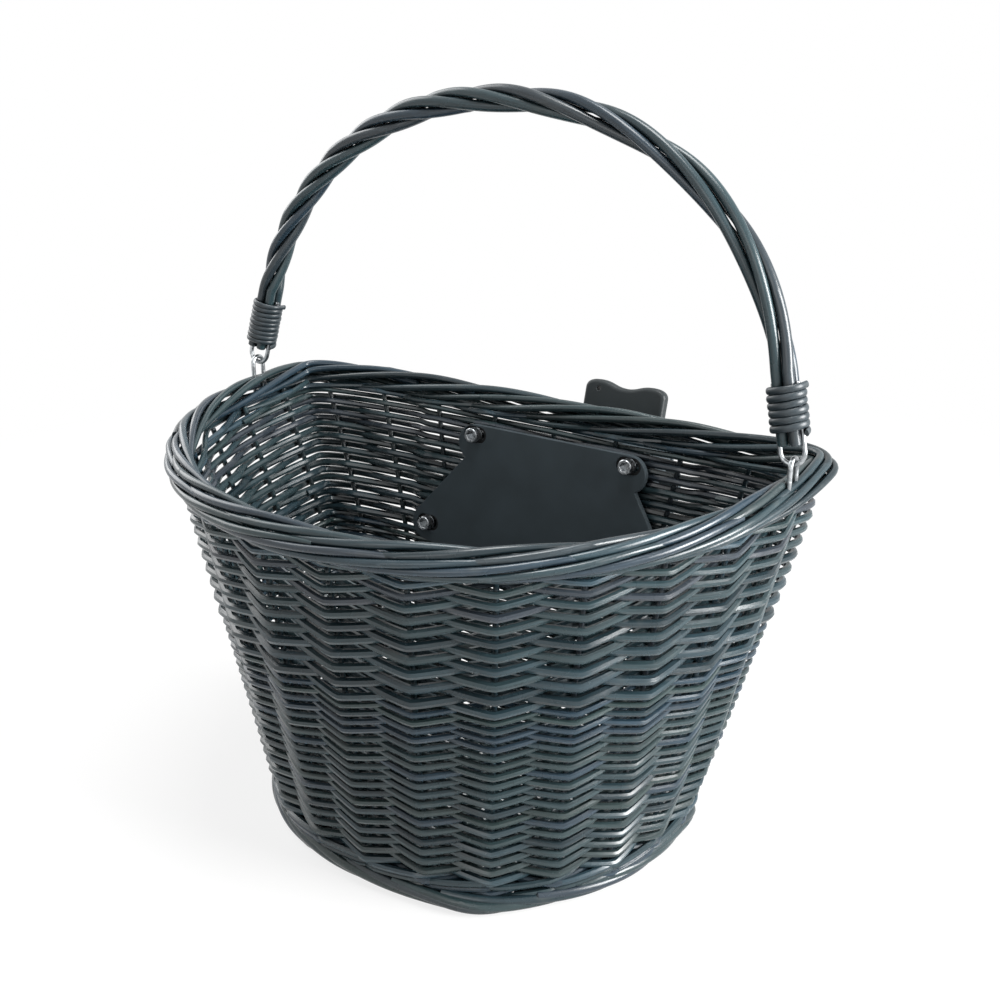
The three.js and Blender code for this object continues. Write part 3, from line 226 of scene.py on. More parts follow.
def moulded_nylon(name, body, rubbed, grain_size, edge, rough, rub):
    material, tree, surface = start_finish(name)
    where = add_node(tree, "ShaderNodeTexCoord").outputs["Object"]
    pits = add_node(tree, "ShaderNodeTexNoise", {"Vector": where, "Scale": 1 / grain_size, "Detail": 2.0})
    cloud = add_node(tree, "ShaderNodeTexNoise", {"Vector": where, "Scale": 1 / CLOUD_SIZE, "Detail": 5.0})
    rounded = add_node(tree, "ShaderNodeBevel", {"Radius": edge}, samples=6)
    plain = add_node(tree, "ShaderNodeNewGeometry").outputs["Normal"]
    turn = add_node(tree, "ShaderNodeVectorMath", {
        0: rounded.outputs["Normal"], 1: plain}, operation="DOT_PRODUCT")
    edges = add_node(tree, "ShaderNodeMapRange", {
        "Value": turn.outputs["Value"], "From Min": 0.99, "From Max": 0.80, "To Min": 0.0, "To Max": 1.0})
    broken = add_node(tree, "ShaderNodeMath", {
        0: edges.outputs["Result"], 1: cloud.outputs["Fac"]}, operation="MULTIPLY")
    rubbing = add_node(tree, "ShaderNodeMath", {0: broken.outputs[0], 1: rub}, operation="MULTIPLY")
    shade = add_node(tree, "ShaderNodeMapRange", {
        "Value": cloud.outputs["Fac"], "From Min": 0.3, "From Max": 0.7, "To Min": 0.86, "To Max": 1.14})
    mottled = add_node(tree, "ShaderNodeMix", {
        0: 1.0, 6: linear(body), 7: shade.outputs["Result"]}, data_type="RGBA", blend_type="MULTIPLY")
    colour = add_node(tree, "ShaderNodeMix", {
        0: rubbing.outputs[0], 6: mottled.outputs[2], 7: linear(rubbed)}, data_type="RGBA")
    dull = add_node(tree, "ShaderNodeMapRange", {
        "Value": cloud.outputs["Fac"], "From Min": 0.3, "From Max": 0.7,
        "To Min": rough - 0.05, "To Max": rough + 0.06})
    grain = add_node(tree, "ShaderNodeBump", {
        "Height": pits.outputs["Fac"], "Strength": 0.35, "Distance": 0.08 * MM,
        "Normal": rounded.outputs["Normal"]})
    tree.links.new(colour.outputs[2], surface.inputs["Base Color"])
    tree.links.new(dull.outputs["Result"], surface.inputs["Roughness"])
    tree.links.new(grain.outputs["Normal"], surface.inputs["Normal"])
    surface.inputs["IOR"].default_value = 1.53
    surface.inputs["Specular IOR Level"].default_value = 0.3
    return material


SPARK_GRAIN = 0.9 * MM
black_nylon = moulded_nylon("moulded_black_nylon", "#363f44", "#545c61", SPARK_GRAIN, 0.5 * MM, 0.60, 0.5)
# Painted shade: a near-black nylon that stands in for the shade on the floors of the screw recesses.
recess_painted_shade_nylon = moulded_nylon("nylon_with_painted_recess_shade", "#0c0e0f", "#0c0e0f", SPARK_GRAIN, 0.3 * MM, 0.65, 0.0)
lever_nylon = moulded_nylon("handled_black_nylon", "#1f2527", "#6c7073", SPARK_GRAIN, 0.7 * MM, 0.50, 1.2)
print("nylon:", black_nylon.name, recess_painted_shade_nylon.name, lever_nylon.name)

# %% [markdown]
# ## The basket's outline
# The body is a D: a nearly straight back and a round front, narrow at the foot and wide at the rim. Its
# outline at any height comes from the sizes in the part's source, repeated here in millimetres. A table
# of points round the wall at many heights makes it quick to ask for a place by how far round, how high
# and how deep in the wall. The way round starts at the middle of the front and goes to the right.

# %% Outline table
BODY_HEIGHT = 221.0
BASE_HALF_WIDTH, RIM_HALF_WIDTH = 122.5, 174.5
BASE_DEPTH, RIM_DEPTH = 148.0, 229.0
BASE_CORNER, RIM_CORNER = 31.5, 27.0
BACK_LEAN = 39.8
BASE_BACK_POWER, RIM_BACK_POWER = 7.0, 3.4
FRONT_POWER = 2.19
ORIGIN_SHIFT = 80.5176
TABLE_HEIGHTS = 112
TABLE_STEPS = 720


def unit(vectors):
    return vectors / np.linalg.norm(vectors, axis=-1, keepdims=True)


def outline_at(height):
    rise = height / BODY_HEIGHT
    half_width = BASE_HALF_WIDTH + (RIM_HALF_WIDTH - BASE_HALF_WIDTH) * rise
    depth = BASE_DEPTH + (RIM_DEPTH - BASE_DEPTH) * rise
    corner = BASE_CORNER + (RIM_CORNER - BASE_CORNER) * rise
    back_power = BASE_BACK_POWER + (RIM_BACK_POWER - BASE_BACK_POWER) * rise
    angle = np.linspace(-0.5 * np.pi, 1.5 * np.pi, 8 * TABLE_STEPS + 1)
    c, s = np.cos(angle), np.sin(angle)
    power = np.where(s > 0, back_power, FRONT_POWER)
    reach = np.where(s > 0, corner, depth - corner)
    x = half_width * np.sign(c) * np.abs(c) ** (2 / power)
    y = -BACK_LEAN * (1 - rise) - corner + reach * np.sign(s) * np.abs(s) ** (2 / power)
    fine = np.stack([x, y + ORIGIN_SHIFT], axis=1)
    way = np.concatenate([[0.0], np.cumsum(np.linalg.norm(np.diff(fine, axis=0), axis=1))])
    even = np.linspace(0, way[-1], TABLE_STEPS + 1)[:-1]
    return np.stack([np.interp(even, way, fine[:, 0]), np.interp(even, way, fine[:, 1])], axis=1)


WALL_TABLE = np.stack([outline_at(h) for h in np.linspace(0, BODY_HEIGHT, TABLE_HEIGHTS)])
along_table = np.roll(WALL_TABLE, -1, axis=1) - np.roll(WALL_TABLE, 1, axis=1)
NORMAL_TABLE = unit(np.stack([along_table[..., 1], -along_table[..., 0]], axis=2))


def look_up(table, share, height):
    across = np.mod(share, 1.0) * TABLE_STEPS
    level = np.clip(height / BODY_HEIGHT, 0, 1) * (TABLE_HEIGHTS - 1)
    i, j = np.floor(level).astype(int), np.floor(across).astype(int)
    i2, j2 = np.minimum(i + 1, TABLE_HEIGHTS - 1), (j + 1) % TABLE_STEPS
    a, b = (level - i)[..., None], (across - j)[..., None]
    j = j % TABLE_STEPS
    low = table[i, j] * (1 - b) + table[i, j2] * b
    high = table[i2, j] * (1 - b) + table[i2, j2] * b
    return low * (1 - a) + high * a


def outward(share, height):
    flat = unit(look_up(NORMAL_TABLE, share, height))
    return np.concatenate([flat, np.zeros_like(flat[..., :1])], axis=-1)


def on_wall(share, height, inset):
    share, height, inset = np.broadcast_arrays(share, height, inset)
    flat = look_up(WALL_TABLE, share, height)
    point = np.concatenate([flat, height[..., None]], axis=-1)
    return point - outward(share, height) * inset[..., None]


rim_way = np.linalg.norm(np.diff(WALL_TABLE[-1], axis=0, append=WALL_TABLE[-1][:1]), axis=1).sum()
print("way round the rim, mm:", round(float(rim_way)))

# %% [markdown]
# ## Rods
# Everything woven is a rod: a line, a radius that may swell and taper, and two cut ends. A curve with
# a bevel would be quicker to write, but its grain coordinates can't be set and its ends can't be cut
# square, so the tubes are built point by point. Leaf scars are left as small bumps, as on real willow.

# %% Rod builder
rng = np.random.default_rng(11)
SCAR_SPACING = 55.0
SCAR_HEIGHT = 0.13
SCAR_LENGTH = 2.4
CUT_EDGE = 0.16


def side_vectors(tangent):
    start = np.array([0.0, 0.0, 1.0]) if abs(tangent[0][2]) < 0.8 else np.array([0.0, 1.0, 0.0])
    sides = np.empty_like(tangent)
    for i, t in enumerate(tangent):
        start = start - t * (start @ t)
        start /= math.sqrt(start @ start)
        sides[i] = start
    return sides


class RodBundle:
    def __init__(self):
        self.points, self.places, self.tones, self.faces, self.count = [], [], [], [], 0

    def add(self, path, radius, tone, sides=8, scars=False, wobble=0.03, facing=None, flat=1.0):
        path = np.asarray(path, float)
        radius = np.broadcast_to(np.asarray(radius, float), len(path)).copy()
        tangent = unit(np.gradient(path, axis=0))
        first = path[0] + tangent[0] * radius[0] * CUT_EDGE
        last = path[-1] - tangent[-1] * radius[-1] * CUT_EDGE
        path = np.concatenate([path[:1], [first], path[1:-1], [last], path[-1:]])
        tangent = np.concatenate([tangent[:1], tangent, tangent[-1:]])
        radius = np.concatenate([radius[:1], radius, radius[-1:]])
        way = np.concatenate([[0.0], np.cumsum(np.linalg.norm(np.diff(path, axis=0), axis=1))])
        phase = rng.uniform(0, 2 * np.pi, 2)
        swell = 1 + wobble * (np.sin(way / 17 + phase[0]) + 0.6 * np.sin(way / 7.3 + phase[1]))
        angle = 2 * np.pi * np.arange(sides) / sides
        ring = (radius * swell)[:, None] * np.ones(sides)
        if scars:
            for _ in range(max(1, int(way[-1] / SCAR_SPACING))):
                at, bud = rng.uniform(0.05, 0.95) * way[-1], rng.uniform(0, 2 * np.pi)
                turn = np.angle(np.exp(1j * (angle - bud)))
                bump = np.exp(-((way - at) / SCAR_LENGTH) ** 2)[:, None] * np.exp(-(turn / 0.5) ** 2)
                ring += SCAR_HEIGHT * radius[:, None] * bump
        ring[0] *= 1 - CUT_EDGE
        ring[-1] *= 1 - CUT_EDGE
        side = side_vectors(tangent) if facing is None else np.concatenate([facing[:1], facing, facing[-1:]])
        lift = np.cross(tangent, side)
        spread = flat * np.cos(angle)[:, None] * side[:, None, :] + np.sin(angle)[:, None] * lift[:, None, :]
        self.points.append((path[:, None, :] + ring[..., None] * spread).reshape(-1, 3))
        shift = rng.uniform(0, 4000.0)
        length = (way + shift)[:, None] * np.ones(sides)
        straight = np.stack([ring * np.cos(angle), ring * np.sin(angle), length], axis=2)
        self.places.append(straight.reshape(-1, 3))
        self.tones.append(np.full(len(path) * sides, tone))
        index = self.count + np.arange(len(path) * sides).reshape(len(path), sides)
        here, there = index[:-1], index[1:]
        quads = np.stack([here, np.roll(here, -1, 1), np.roll(there, -1, 1), there], axis=2).reshape(-1, 4)
        self.faces += quads.tolist() + [index[0, ::-1].tolist(), index[-1].tolist()]
        self.count += len(path) * sides

    def piece(self, name, material, body, slot, *nodes):
        points = np.concatenate(self.points) * MM
        mesh = bpy.data.meshes.new(name)
        mesh.from_pydata(points.tolist(), [], self.faces)
        place = mesh.attributes.new("rod_place", "FLOAT_VECTOR", "POINT")
        place.data.foreach_set("vector", (np.concatenate(self.places) * MM).astype(np.float32).ravel())
        tone = mesh.attributes.new("rod_tone", "FLOAT", "POINT")
        tone.data.foreach_set("value", np.concatenate(self.tones).astype(np.float32))
        return dress(name, mesh, material, body, slot, *nodes)


def dress(name, mesh, material, body, slot, *nodes):
    mesh.shade_smooth()
    mesh.set_sharp_from_angle(angle=math.radians(38))
    mesh.materials.append(material)
    piece = bpy.data.objects.new(name, mesh)
    scene.collection.objects.link(piece)
    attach(piece, body)
    if nodes:
        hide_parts(*nodes)
    print(f"{name}: {len(mesh.polygons)} faces")
    return piece


print("a leaf scar every", SCAR_SPACING, "mm of a thick rod")

# %% [markdown]
# ## Places round the wall
# Twenty-three upright stakes stand round the foot. The number is odd, so one weaver that goes in front
# of one stake and behind the next comes round to the opposite side of each stake on every new row. At
# the foot the stakes are a little wider apart at the front than at the back, as the photograph shows. No
# handmade basket is quite even: this one is a little fuller in the middle of its right side.

# %% Places of the stakes
STAKES = 23
STAKE_RADIUS = 1.5
STAKE_DEPTH = 4.8
STAKE_SPREAD = 0.70
STAKE_LEAN = 0.32
RIGHT_FULLNESS, RIGHT_STAKE, RIGHT_WIDTH = 3.0, 7.3, 2.2
FULL_FROM, FULL_TO = (10, 50), (190, 212)


def smooth_step(value, low, high):
    t = np.clip((value - low) / (high - low), 0, 1)
    return t * t * (3 - 2 * t)


def near(share, stake, width):
    away = np.mod(share * STAKES - stake + STAKES / 2, STAKES) - STAKES / 2
    return np.exp(-(away / width) ** 2)


def fullness(share, height):
    level = smooth_step(height, *FULL_FROM) * (1 - smooth_step(height, *FULL_TO))
    return RIGHT_FULLNESS * near(share, RIGHT_STAKE, RIGHT_WIDTH) * level


def stake_share(stake, height):
    rise = height / BODY_HEIGHT
    spread = STAKE_SPREAD * (1 - rise) * np.sin(2 * np.pi * stake / STAKES)
    return (stake + STAKE_LEAN * rise + spread) / STAKES


print("stake spacing at the rim, mm:", round(float(rim_way) / STAKES, 1))

# %% [markdown]
# ## Room for the plate
# Inside the back wall a plate is screwed on, and it presses the weave flat. The plate's place is known in
# its own frame, square to the leaning wall, so each rod that would stand in it is pushed back just far
# enough, and the push fades out beyond the plate's edges.

# %% Room for the plate
MOUNT_HEIGHT, MOUNT_X, WALL_FACE = 162.4016, 12.0, 1.3
PLATE_REACH, PLATE_EASE, PLATE_GAP = 12.0, (1, 9), 0.3
MOUNT = np.array([
    MOUNT_X, -BACK_LEAN * (1 - MOUNT_HEIGHT / BODY_HEIGHT) - WALL_FACE + ORIGIN_SHIFT, MOUNT_HEIGHT])
BACK_TILT = math.atan2(BACK_LEAN, BODY_HEIGHT)
WALL_OUT = np.array([0.0, math.cos(BACK_TILT), -math.sin(BACK_TILT)])
WALL_UP = np.array([0.0, math.sin(BACK_TILT), math.cos(BACK_TILT)])
MOUNT_AXES = np.stack([[1.0, 0.0, 0.0], WALL_OUT, WALL_UP])


def mount_box(node):
    corners = np.array([v.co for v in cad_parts[node].data.vertices]) / MM
    local = (corners - MOUNT) @ MOUNT_AXES.T
    return local.min(axis=0), local.max(axis=0)


PLATE_LOW, PLATE_HIGH = mount_box("inner_plate")


def under_plate(points):
    local = (points - MOUNT) @ MOUNT_AXES.T
    within = np.where(local[:, 1] > PLATE_LOW[1] - PLATE_REACH, 1.0, 0.0)
    for axis in (0, 2):
        middle = (PLATE_LOW[axis] + PLATE_HIGH[axis]) / 2
        half = (PLATE_HIGH[axis] - PLATE_LOW[axis]) / 2
        past = np.abs(local[:, axis] - middle) - half
        within *= 1 - smooth_step(past, *PLATE_EASE)
    return within


def clear_of_plate(points, radius):
    local = (points - MOUNT) @ MOUNT_AXES.T
    short = np.maximum(0, PLATE_HIGH[1] + radius + PLATE_GAP - local[:, 1]) * under_plate(points)
    return points + short[:, None] * WALL_OUT


print("plate, mm:", np.round(PLATE_HIGH - PLATE_LOW, 1).tolist())

# %% [markdown]
# ## Stakes
# The stakes run from the foot up into the rim border, straight and of one thickness. The weave hides most
# of them, and they show as dark uprights where light comes through.

# %% Stakes
STAKE_FOOT, STAKE_TOP = 3.0, 209.0

stakes = RodBundle()
for stake in range(STAKES):
    height = np.linspace(STAKE_FOOT, STAKE_TOP, 60)
    share = stake_share(stake, height)
    path = on_wall(share, height, STAKE_DEPTH - fullness(share, height))
    stakes.add(clear_of_plate(path, STAKE_RADIUS), STAKE_RADIUS, rng.uniform(), sides=10)
stakes.piece("wall_stakes", willow_paint, "basket", "painted_willow")

# %% [markdown]
# ## The woven wall
# One line winds up the wall as a screw thread does, swinging out in front of a stake and in behind the
# next. Rods run nearly straight between stakes and bend where they pass one, so the swing is a triangle
# wave with rounded tips, and a rod dips a little where it swings out. The lower rows are beaten down
# tight; the upper ones are thicker rods laid wider apart, and they let light through. The line is cut
# into rods of about a round and a third, and each cut lies inside the basket, where a weaver hides the
# joins.

# %% Woven wall
LOWER_ROWS, UPPER_ROWS = 38, 20
FIRST_ROW, LAST_ROW = 11.0, 206.0
SIDE_CHANGE, FRONT_CHANGE_RISE = 126.0, 5.0
FRONT_STAKE, FRONT_REACH = 2.1, 2.8
LOWER_CLOSENESS, UPPER_CLOSENESS = 1.22, 1.09
STEPS_PER_STAKE = 14
BEND_SHARPNESS = 0.997
OUT_SWING, IN_SWING = 5.4, 4.2
HELD_OUT, HELD_IN = 1.9, 4.6
DIP, FRONT_DIP = 2.1, 0.5
LOWER_EASE, UPPER_EASE = 0.17, 0.22
ROD_OVERRUN, TAIL_LENGTH, TAIL_TUCK = 0.35, 0.6, 2.2


def row_height(turn):
    row = turn / STAKES
    away = np.mod(turn - FRONT_STAKE + STAKES / 2, STAKES) - STAKES / 2
    change = SIDE_CHANGE + FRONT_CHANGE_RISE * np.exp(-(away / FRONT_REACH) ** 2)
    low = np.minimum(row / LOWER_ROWS, 1)
    high = np.maximum(row / LOWER_ROWS - 1, 0) * LOWER_ROWS / UPPER_ROWS
    lower = (change - FIRST_ROW) * (1 + LOWER_EASE * (1 - low)) * low
    upper = (LAST_ROW - change) * (1 + UPPER_EASE * (1 - high)) * high
    wave = 0.30 * np.sin(2 * np.pi * 2 * row + 0.23 * row) + 0.22 * np.sin(2 * np.pi * 5 * row - 0.4 * row)
    return FIRST_ROW + lower + upper + wave


def weaver_radius(turn):
    pitch = row_height(turn + STAKES / 2) - row_height(turn - STAKES / 2)
    loose = smooth_step(turn / STAKES, LOWER_ROWS - 1, LOWER_ROWS + 1)
    return pitch / 2 * (LOWER_CLOSENESS + (UPPER_CLOSENESS - LOWER_CLOSENESS) * loose)


def swing(turn):
    return np.arcsin(BEND_SHARPNESS * np.cos(np.pi * turn)) / math.asin(BEND_SHARPNESS)


def weaver_path(turn, tuck):
    height, radius = row_height(turn), weaver_radius(turn)
    share, sway = stake_share(turn, height), swing(turn)
    held = under_plate(on_wall(share, height, STAKE_DEPTH))
    out, back = OUT_SWING + (HELD_OUT - OUT_SWING) * held, IN_SWING + (HELD_IN - IN_SWING) * held
    dip = DIP + FRONT_DIP * np.cos(2 * np.pi * turn / STAKES)
    inset = STAKE_DEPTH - (out - back) / 2 - (out + back) / 2 * sway + tuck - fullness(share, height)
    return on_wall(share, height - dip * sway, inset), radius


weave = RodBundle()
start, last_turn = 1.0, (LOWER_ROWS + UPPER_ROWS) * STAKES
while start < last_turn:
    end = min(start + 2 * rng.integers(14, 19), last_turn)
    turn = np.arange(start - ROD_OVERRUN, end + ROD_OVERRUN, 1 / STEPS_PER_STAKE)
    tail = smooth_step(turn, end - TAIL_LENGTH, end + ROD_OVERRUN)
    path, radius = weaver_path(turn, tail * TAIL_TUCK)
    taper = 1.03 - 0.08 * (turn - start) / (end - start)
    weave.add(clear_of_plate(path, radius), radius * taper, rng.uniform(), wobble=0.02)
    start = end
weave.piece("wall_weave", willow_paint, "basket", "painted_willow", "woven_wall")

# %% [markdown]
# ## Waling
# Under the rim and above the foot three rods are worked together, each passing in front of two stakes
# and behind one. That locks the stakes in place, and it shows as longer strokes that climb to the right.
# One course closes the weave under the rim, and three fill the corner between weave and foot border.

# %% Waling
WALE_LIFT = 0.85
WALE_REACH, WALE_FLAT = 4.0, 1.25
WALE_HELD = 0.55


def wale_courses(name, heights, radius):
    bundle = RodBundle()
    for height in heights:
        for strand in range(3):
            begin = rng.uniform(0, STAKES)
            turn = np.arange(begin, begin + STAKES + 1.2, 1 / STEPS_PER_STAKE)
            angle = 2 * np.pi * (turn - strand - 0.5) / 3
            out = np.minimum(1 / 3 + 4 / 3 * np.cos(angle), WALE_FLAT)
            level = height + WALE_LIFT * radius * np.sin(angle)
            share = stake_share(turn, level)
            held = under_plate(on_wall(share, level, STAKE_DEPTH))
            path = on_wall(share, level, STAKE_DEPTH - WALE_REACH * out * (1 - WALE_HELD * held))
            bundle.add(clear_of_plate(path, radius), radius, rng.uniform(), wobble=0.02)
    bundle.piece(name, willow_paint, "basket", "painted_willow")


wale_courses("rim_wale", (206.2,), 1.6)
wale_courses("foot_wale", (7.6, 11.0, 14.4), 1.9)

# %% [markdown]
# ## The rim border
# Each stake's rod comes up inside the bundle, crosses the top, turns down the inside and under, and then
# runs a long way up the outside until it is cut off, just where the next rod comes up. So every section
# holds seven rods, and a cut end shows at each stake. The turn is quick over the top and slow outside.
# At the two ends of the D, where the rods turn a tight corner, the border stands out and up a little.

# %% Rim border
BORDER_INSET, BORDER_HEIGHT = 2.4, 212.6
BORDER_ROD = 2.05
END_BULGE, END_RISE = 3.5, 3.5
LAY_PLACES = [-0.6, 0.0, 1.0, 2.0, 3.0, 4.0, 5.0, 6.0, 7.2]
LAY_DEGREES = [34, 50, 96, 150, 212, 284, 324, 360, 410]
LAY_REACH = [1.2, 4.0, 6.3, 6.2, 6.2, 6.2, 6.3, 6.2, 2.2]
BULGES = [(7.3, 0.9), (18.6, 2.2)]


def eased(values, width):
    padded = np.concatenate([np.full(width, values[0]), values, np.full(width, values[-1])])
    return np.convolve(padded, np.ones(2 * width + 1) / (2 * width + 1), mode="valid")


border = RodBundle()
for stake in range(STAKES):
    step = np.arange(-0.6, 7.0 + rng.uniform(-0.15, 0.2), 0.05)
    angle = np.radians(eased(np.interp(step, LAY_PLACES, LAY_DEGREES), 8) + rng.uniform(-9, 9))
    reach = eased(np.interp(step, LAY_PLACES, LAY_REACH), 5) + rng.uniform(-0.5, 0.4)
    reach += 0.4 * np.sin(rng.uniform(1.2, 2.2) * step + rng.uniform(0, 6.3))
    share = stake_share(stake + step, BORDER_HEIGHT)
    ends = sum(near(share, at, wide) for at, wide in BULGES)
    middle = on_wall(share, BORDER_HEIGHT, BORDER_INSET - END_BULGE * ends)
    path = middle + outward(share, np.full_like(share, BORDER_HEIGHT)) * (reach * np.cos(angle))[:, None]
    path[:, 2] += reach * np.sin(angle) + END_RISE * ends
    thick = BORDER_ROD * rng.uniform(0.93, 1.07) * (1.03 - 0.012 * step)
    border.add(path, thick, rng.uniform(), sides=12, scars=True)
border.piece("rim_border_rods", willow_paint, "basket", "painted_willow", "rim_border")

# %% [markdown]
# ## The foot border
# Below the weave the stakes are turned under into a low border that the basket stands on. These rods are
# thicker, start with a square cut on the outside and run down to the right until they lie underneath. The
# border is a little fuller in front, and it has a knee at the right where the D turns to its back.

# %% Foot border
FOOT_INSET, FOOT_LEVEL = 3.5, 5.0
FOOT_ROD = 3.1
FOOT_REACH, FOOT_LIFT = 4.5, 2.6
FOOT_PLACES, FOOT_DEGREES = [0, 1, 2, 3, 4.3], [62, 24, -22, -78, -165]
STANDING = 1.09
FOOT_FULLNESS, FOOT_KNEE = (2.2, 1.0, 2.5), (6.6, 2.1, 0.75)

foot = RodBundle()
for stake in range(STAKES):
    step = np.arange(rng.uniform(-0.35, 0.35), 4.3, 0.06)
    angle = np.radians(eased(np.interp(step, FOOT_PLACES, FOOT_DEGREES), 6) + rng.uniform(-9, 9))
    thick = FOOT_ROD * rng.uniform(0.92, 1.04) * (1.02 - 0.07 * step)
    share = stake_share(stake + 0.4 + step, FOOT_LEVEL)
    bulge = FOOT_FULLNESS[0] * near(share, *FOOT_FULLNESS[1:])
    bulge += FOOT_KNEE[0] * near(share, *FOOT_KNEE[1:]) * (0.65 - 0.35 * np.sin(angle))
    middle = on_wall(share, FOOT_LEVEL, FOOT_INSET - bulge)
    reach = FOOT_REACH + rng.uniform(-0.5, 0.4)
    path = middle + outward(share, np.full_like(share, FOOT_LEVEL)) * (reach * np.cos(angle))[:, None]
    path[:, 2] = np.maximum(FOOT_LEVEL + FOOT_LIFT * np.sin(angle), thick * STANDING)
    foot.add(path, thick, rng.uniform(), sides=12, scars=True)
foot.piece("foot_border_rods", willow_paint, "basket", "painted_willow", "foot_border")

# %% [markdown]
# ## The floor
# The base is woven flat: stout sticks from front to back, and weavers across them, over one and under
# the next. The weavers are cut where they meet the foot.

# %% Floor
FLOOR_LEVEL = 5.5
STICK_RADIUS, FLOOR_WEAVER = 1.5, 1.4
STICK_SPACING, FLOOR_PITCH = 19.0, 2.5
FLOOR_INSET = 5.5

floor_edge = on_wall(np.linspace(0, 1, 720, endpoint=False), FLOOR_LEVEL, FLOOR_INSET)[:, :2]
floor_weave = RodBundle()
low_y, high_y = floor_edge[:, 1].min(), floor_edge[:, 1].max()
for row, y in enumerate(np.arange(low_y + 3, high_y - 1, FLOOR_PITCH)):
    reach = np.abs(floor_edge[np.abs(floor_edge[:, 1] - y) < 3.0, 0]).min() - 1.0
    if reach > STICK_SPACING / 2:
        x = np.arange(-reach, reach, 1.6)
        lift = np.cos(np.pi * x / STICK_SPACING) * (-1) ** row * (STICK_RADIUS + FLOOR_WEAVER) * 0.86
        path = np.stack([x, np.full_like(x, y), FLOOR_LEVEL + lift], axis=1)
        floor_weave.add(path, FLOOR_WEAVER, rng.uniform(), wobble=0.02)
for number in range(-5, 6):
    x = number * STICK_SPACING
    span = floor_edge[np.abs(floor_edge[:, 0] - x) < 2.5, 1]
    y = np.linspace(span.min() + 1, span.max() - 1, 40)
    path = np.stack([np.full_like(y, x), y, np.full_like(y, FLOOR_LEVEL)], axis=1)
    floor_weave.add(path, STICK_RADIUS, rng.uniform(), sides=10)
floor_weave.piece("floor_weave", willow_paint, "basket", "painted_willow", "woven_floor")

# %% [markdown]
# ## The handle
# Four long rods are laid together and twisted like a loose rope. They run straight through the bindings
# at both ends. On the left half the twist is tight; towards the right it slackens until the rods lie
# almost side by side, and there a gap opens between them.

# %% Handle rods
rim_eye_low, rim_eye_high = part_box("rim_eye_right")
EYE_X = (rim_eye_low.x + rim_eye_high.x) / 2 / MM
HANDLE_SET_FORWARD, PIVOT_HEIGHT = 59.0, 229.5
PIVOT = np.array([0.0, ORIGIN_SHIFT - HANDLE_SET_FORWARD, PIVOT_HEIGHT])
REST_TILT = math.radians(7.0)
LEG_LEAN = math.radians(13.0)
LEG_LENGTH, LEG_FOOT = 46.0, 9.5
HANDLE_RISE, HANDLE_FULLNESS = 162.0, 0.56
HANDLE_TURNS, HANDLE_ROD, HANDLE_LAY = 3.0, 2.8, 4.31
TWIST_BIAS = 0.45
ROD_SLACK, ROD_LAG = [0.2, 1.0, 0.1, 0.7], [0.12, -0.1, 0.2, -0.16]
ROD_THICKNESS, ROD_TONE = [1.03, 0.97, 1.05, 0.99], [0.2, 0.55, 0.7, 0.9]


def bezier(a, b, c, d, count):
    t = np.linspace(0, 1, count)[:, None]
    return a * (1 - t) ** 3 + 3 * b * t * (1 - t) ** 2 + 3 * c * t * t * (1 - t) + d * t ** 3


def handle_line(spacing):
    lean = np.array([-math.sin(LEG_LEAN), 0.0, math.cos(LEG_LEAN)])
    eye = np.array([EYE_X, 0.0, 0.0])
    leg_foot, leg_top = eye + LEG_FOOT * lean, eye + LEG_LENGTH * lean
    apex = np.array([0.0, 0.0, HANDLE_RISE])
    shoulder = leg_top + HANDLE_FULLNESS * (HANDLE_RISE - leg_top[2]) * lean
    crown = np.array([HANDLE_FULLNESS * leg_top[0], 0.0, HANDLE_RISE])
    right = np.concatenate([bezier(apex, crown, shoulder, leg_top, 200), [leg_foot]])
    left = right[:0:-1] * [-1, 1, 1]
    line = np.concatenate([left, right])
    way = np.concatenate([[0.0], np.cumsum(np.linalg.norm(np.diff(line, axis=0), axis=1))])
    even = np.linspace(0, way[-1], int(way[-1] / spacing))
    return np.stack([np.interp(even, way, line[:, axis]) for axis in range(3)], axis=1), even


def tilted(points):
    c, s = math.cos(REST_TILT), math.sin(REST_TILT)
    x, y, z = points.T
    return PIVOT + np.stack([x, c * y + s * z, c * z - s * y], axis=1)


line, way = handle_line(2.0)
tangent = unit(np.gradient(line, axis=0))
level_axis = np.array([0.0, 1.0, 0.0])
across = np.cross(level_axis, tangent)
straight = LEG_LENGTH - LEG_FOOT
share = np.clip((way - straight) / (way[-1] - 2 * straight), 0, 1)
twist = 2 * np.pi * HANDLE_TURNS * (share + TWIST_BIAS * np.sin(np.pi * share) / np.pi)
slack = np.sin(np.pi * share) ** 2 * smooth_step(share, 0.45, 0.75)
for number in range(4):
    angle = np.pi * (2 * number + 1) / 4 + twist
    loose = HANDLE_LAY + slack * ROD_SLACK[number] + 0.15 * np.sin(way / 31 + number)
    angle = angle + slack * ROD_LAG[number]
    path = line + across * (loose * np.cos(angle))[:, None] + level_axis * (loose * np.sin(angle))[:, None]
    rod = RodBundle()
    rod.add(tilted(path), HANDLE_ROD * ROD_THICKNESS[number], ROD_TONE[number],
            sides=16, scars=True, wobble=0.02)
    node = f"handle_rod_{number + 1}"
    rod.piece(f"handle_willow_{number + 1}", willow_paint, "handle", "painted_willow", node)

# %% [markdown]
# ## Bindings and wire hangers
# Each end of the handle is wound with cane over the rods and over the legs of a wire loop. The left
# winding has nine thin turns, the right one six thick ones with its ends left standing out. The loops
# hang in wire eyes that are driven into the border like staples.

# %% Bindings
CANE_FLATNESS = 0.62
BUNDLE_RADIUS, WIRE_STANDS_OUT = 6.55, 1.1


def leg_place(points, sign):
    lean = -sign * LEG_LEAN
    x = points[:, 0] * math.cos(lean) + points[:, 2] * math.sin(lean)
    z = -points[:, 0] * math.sin(lean) + points[:, 2] * math.cos(lean)
    return tilted(np.stack([sign * EYE_X + x, points[:, 1], z], axis=1))


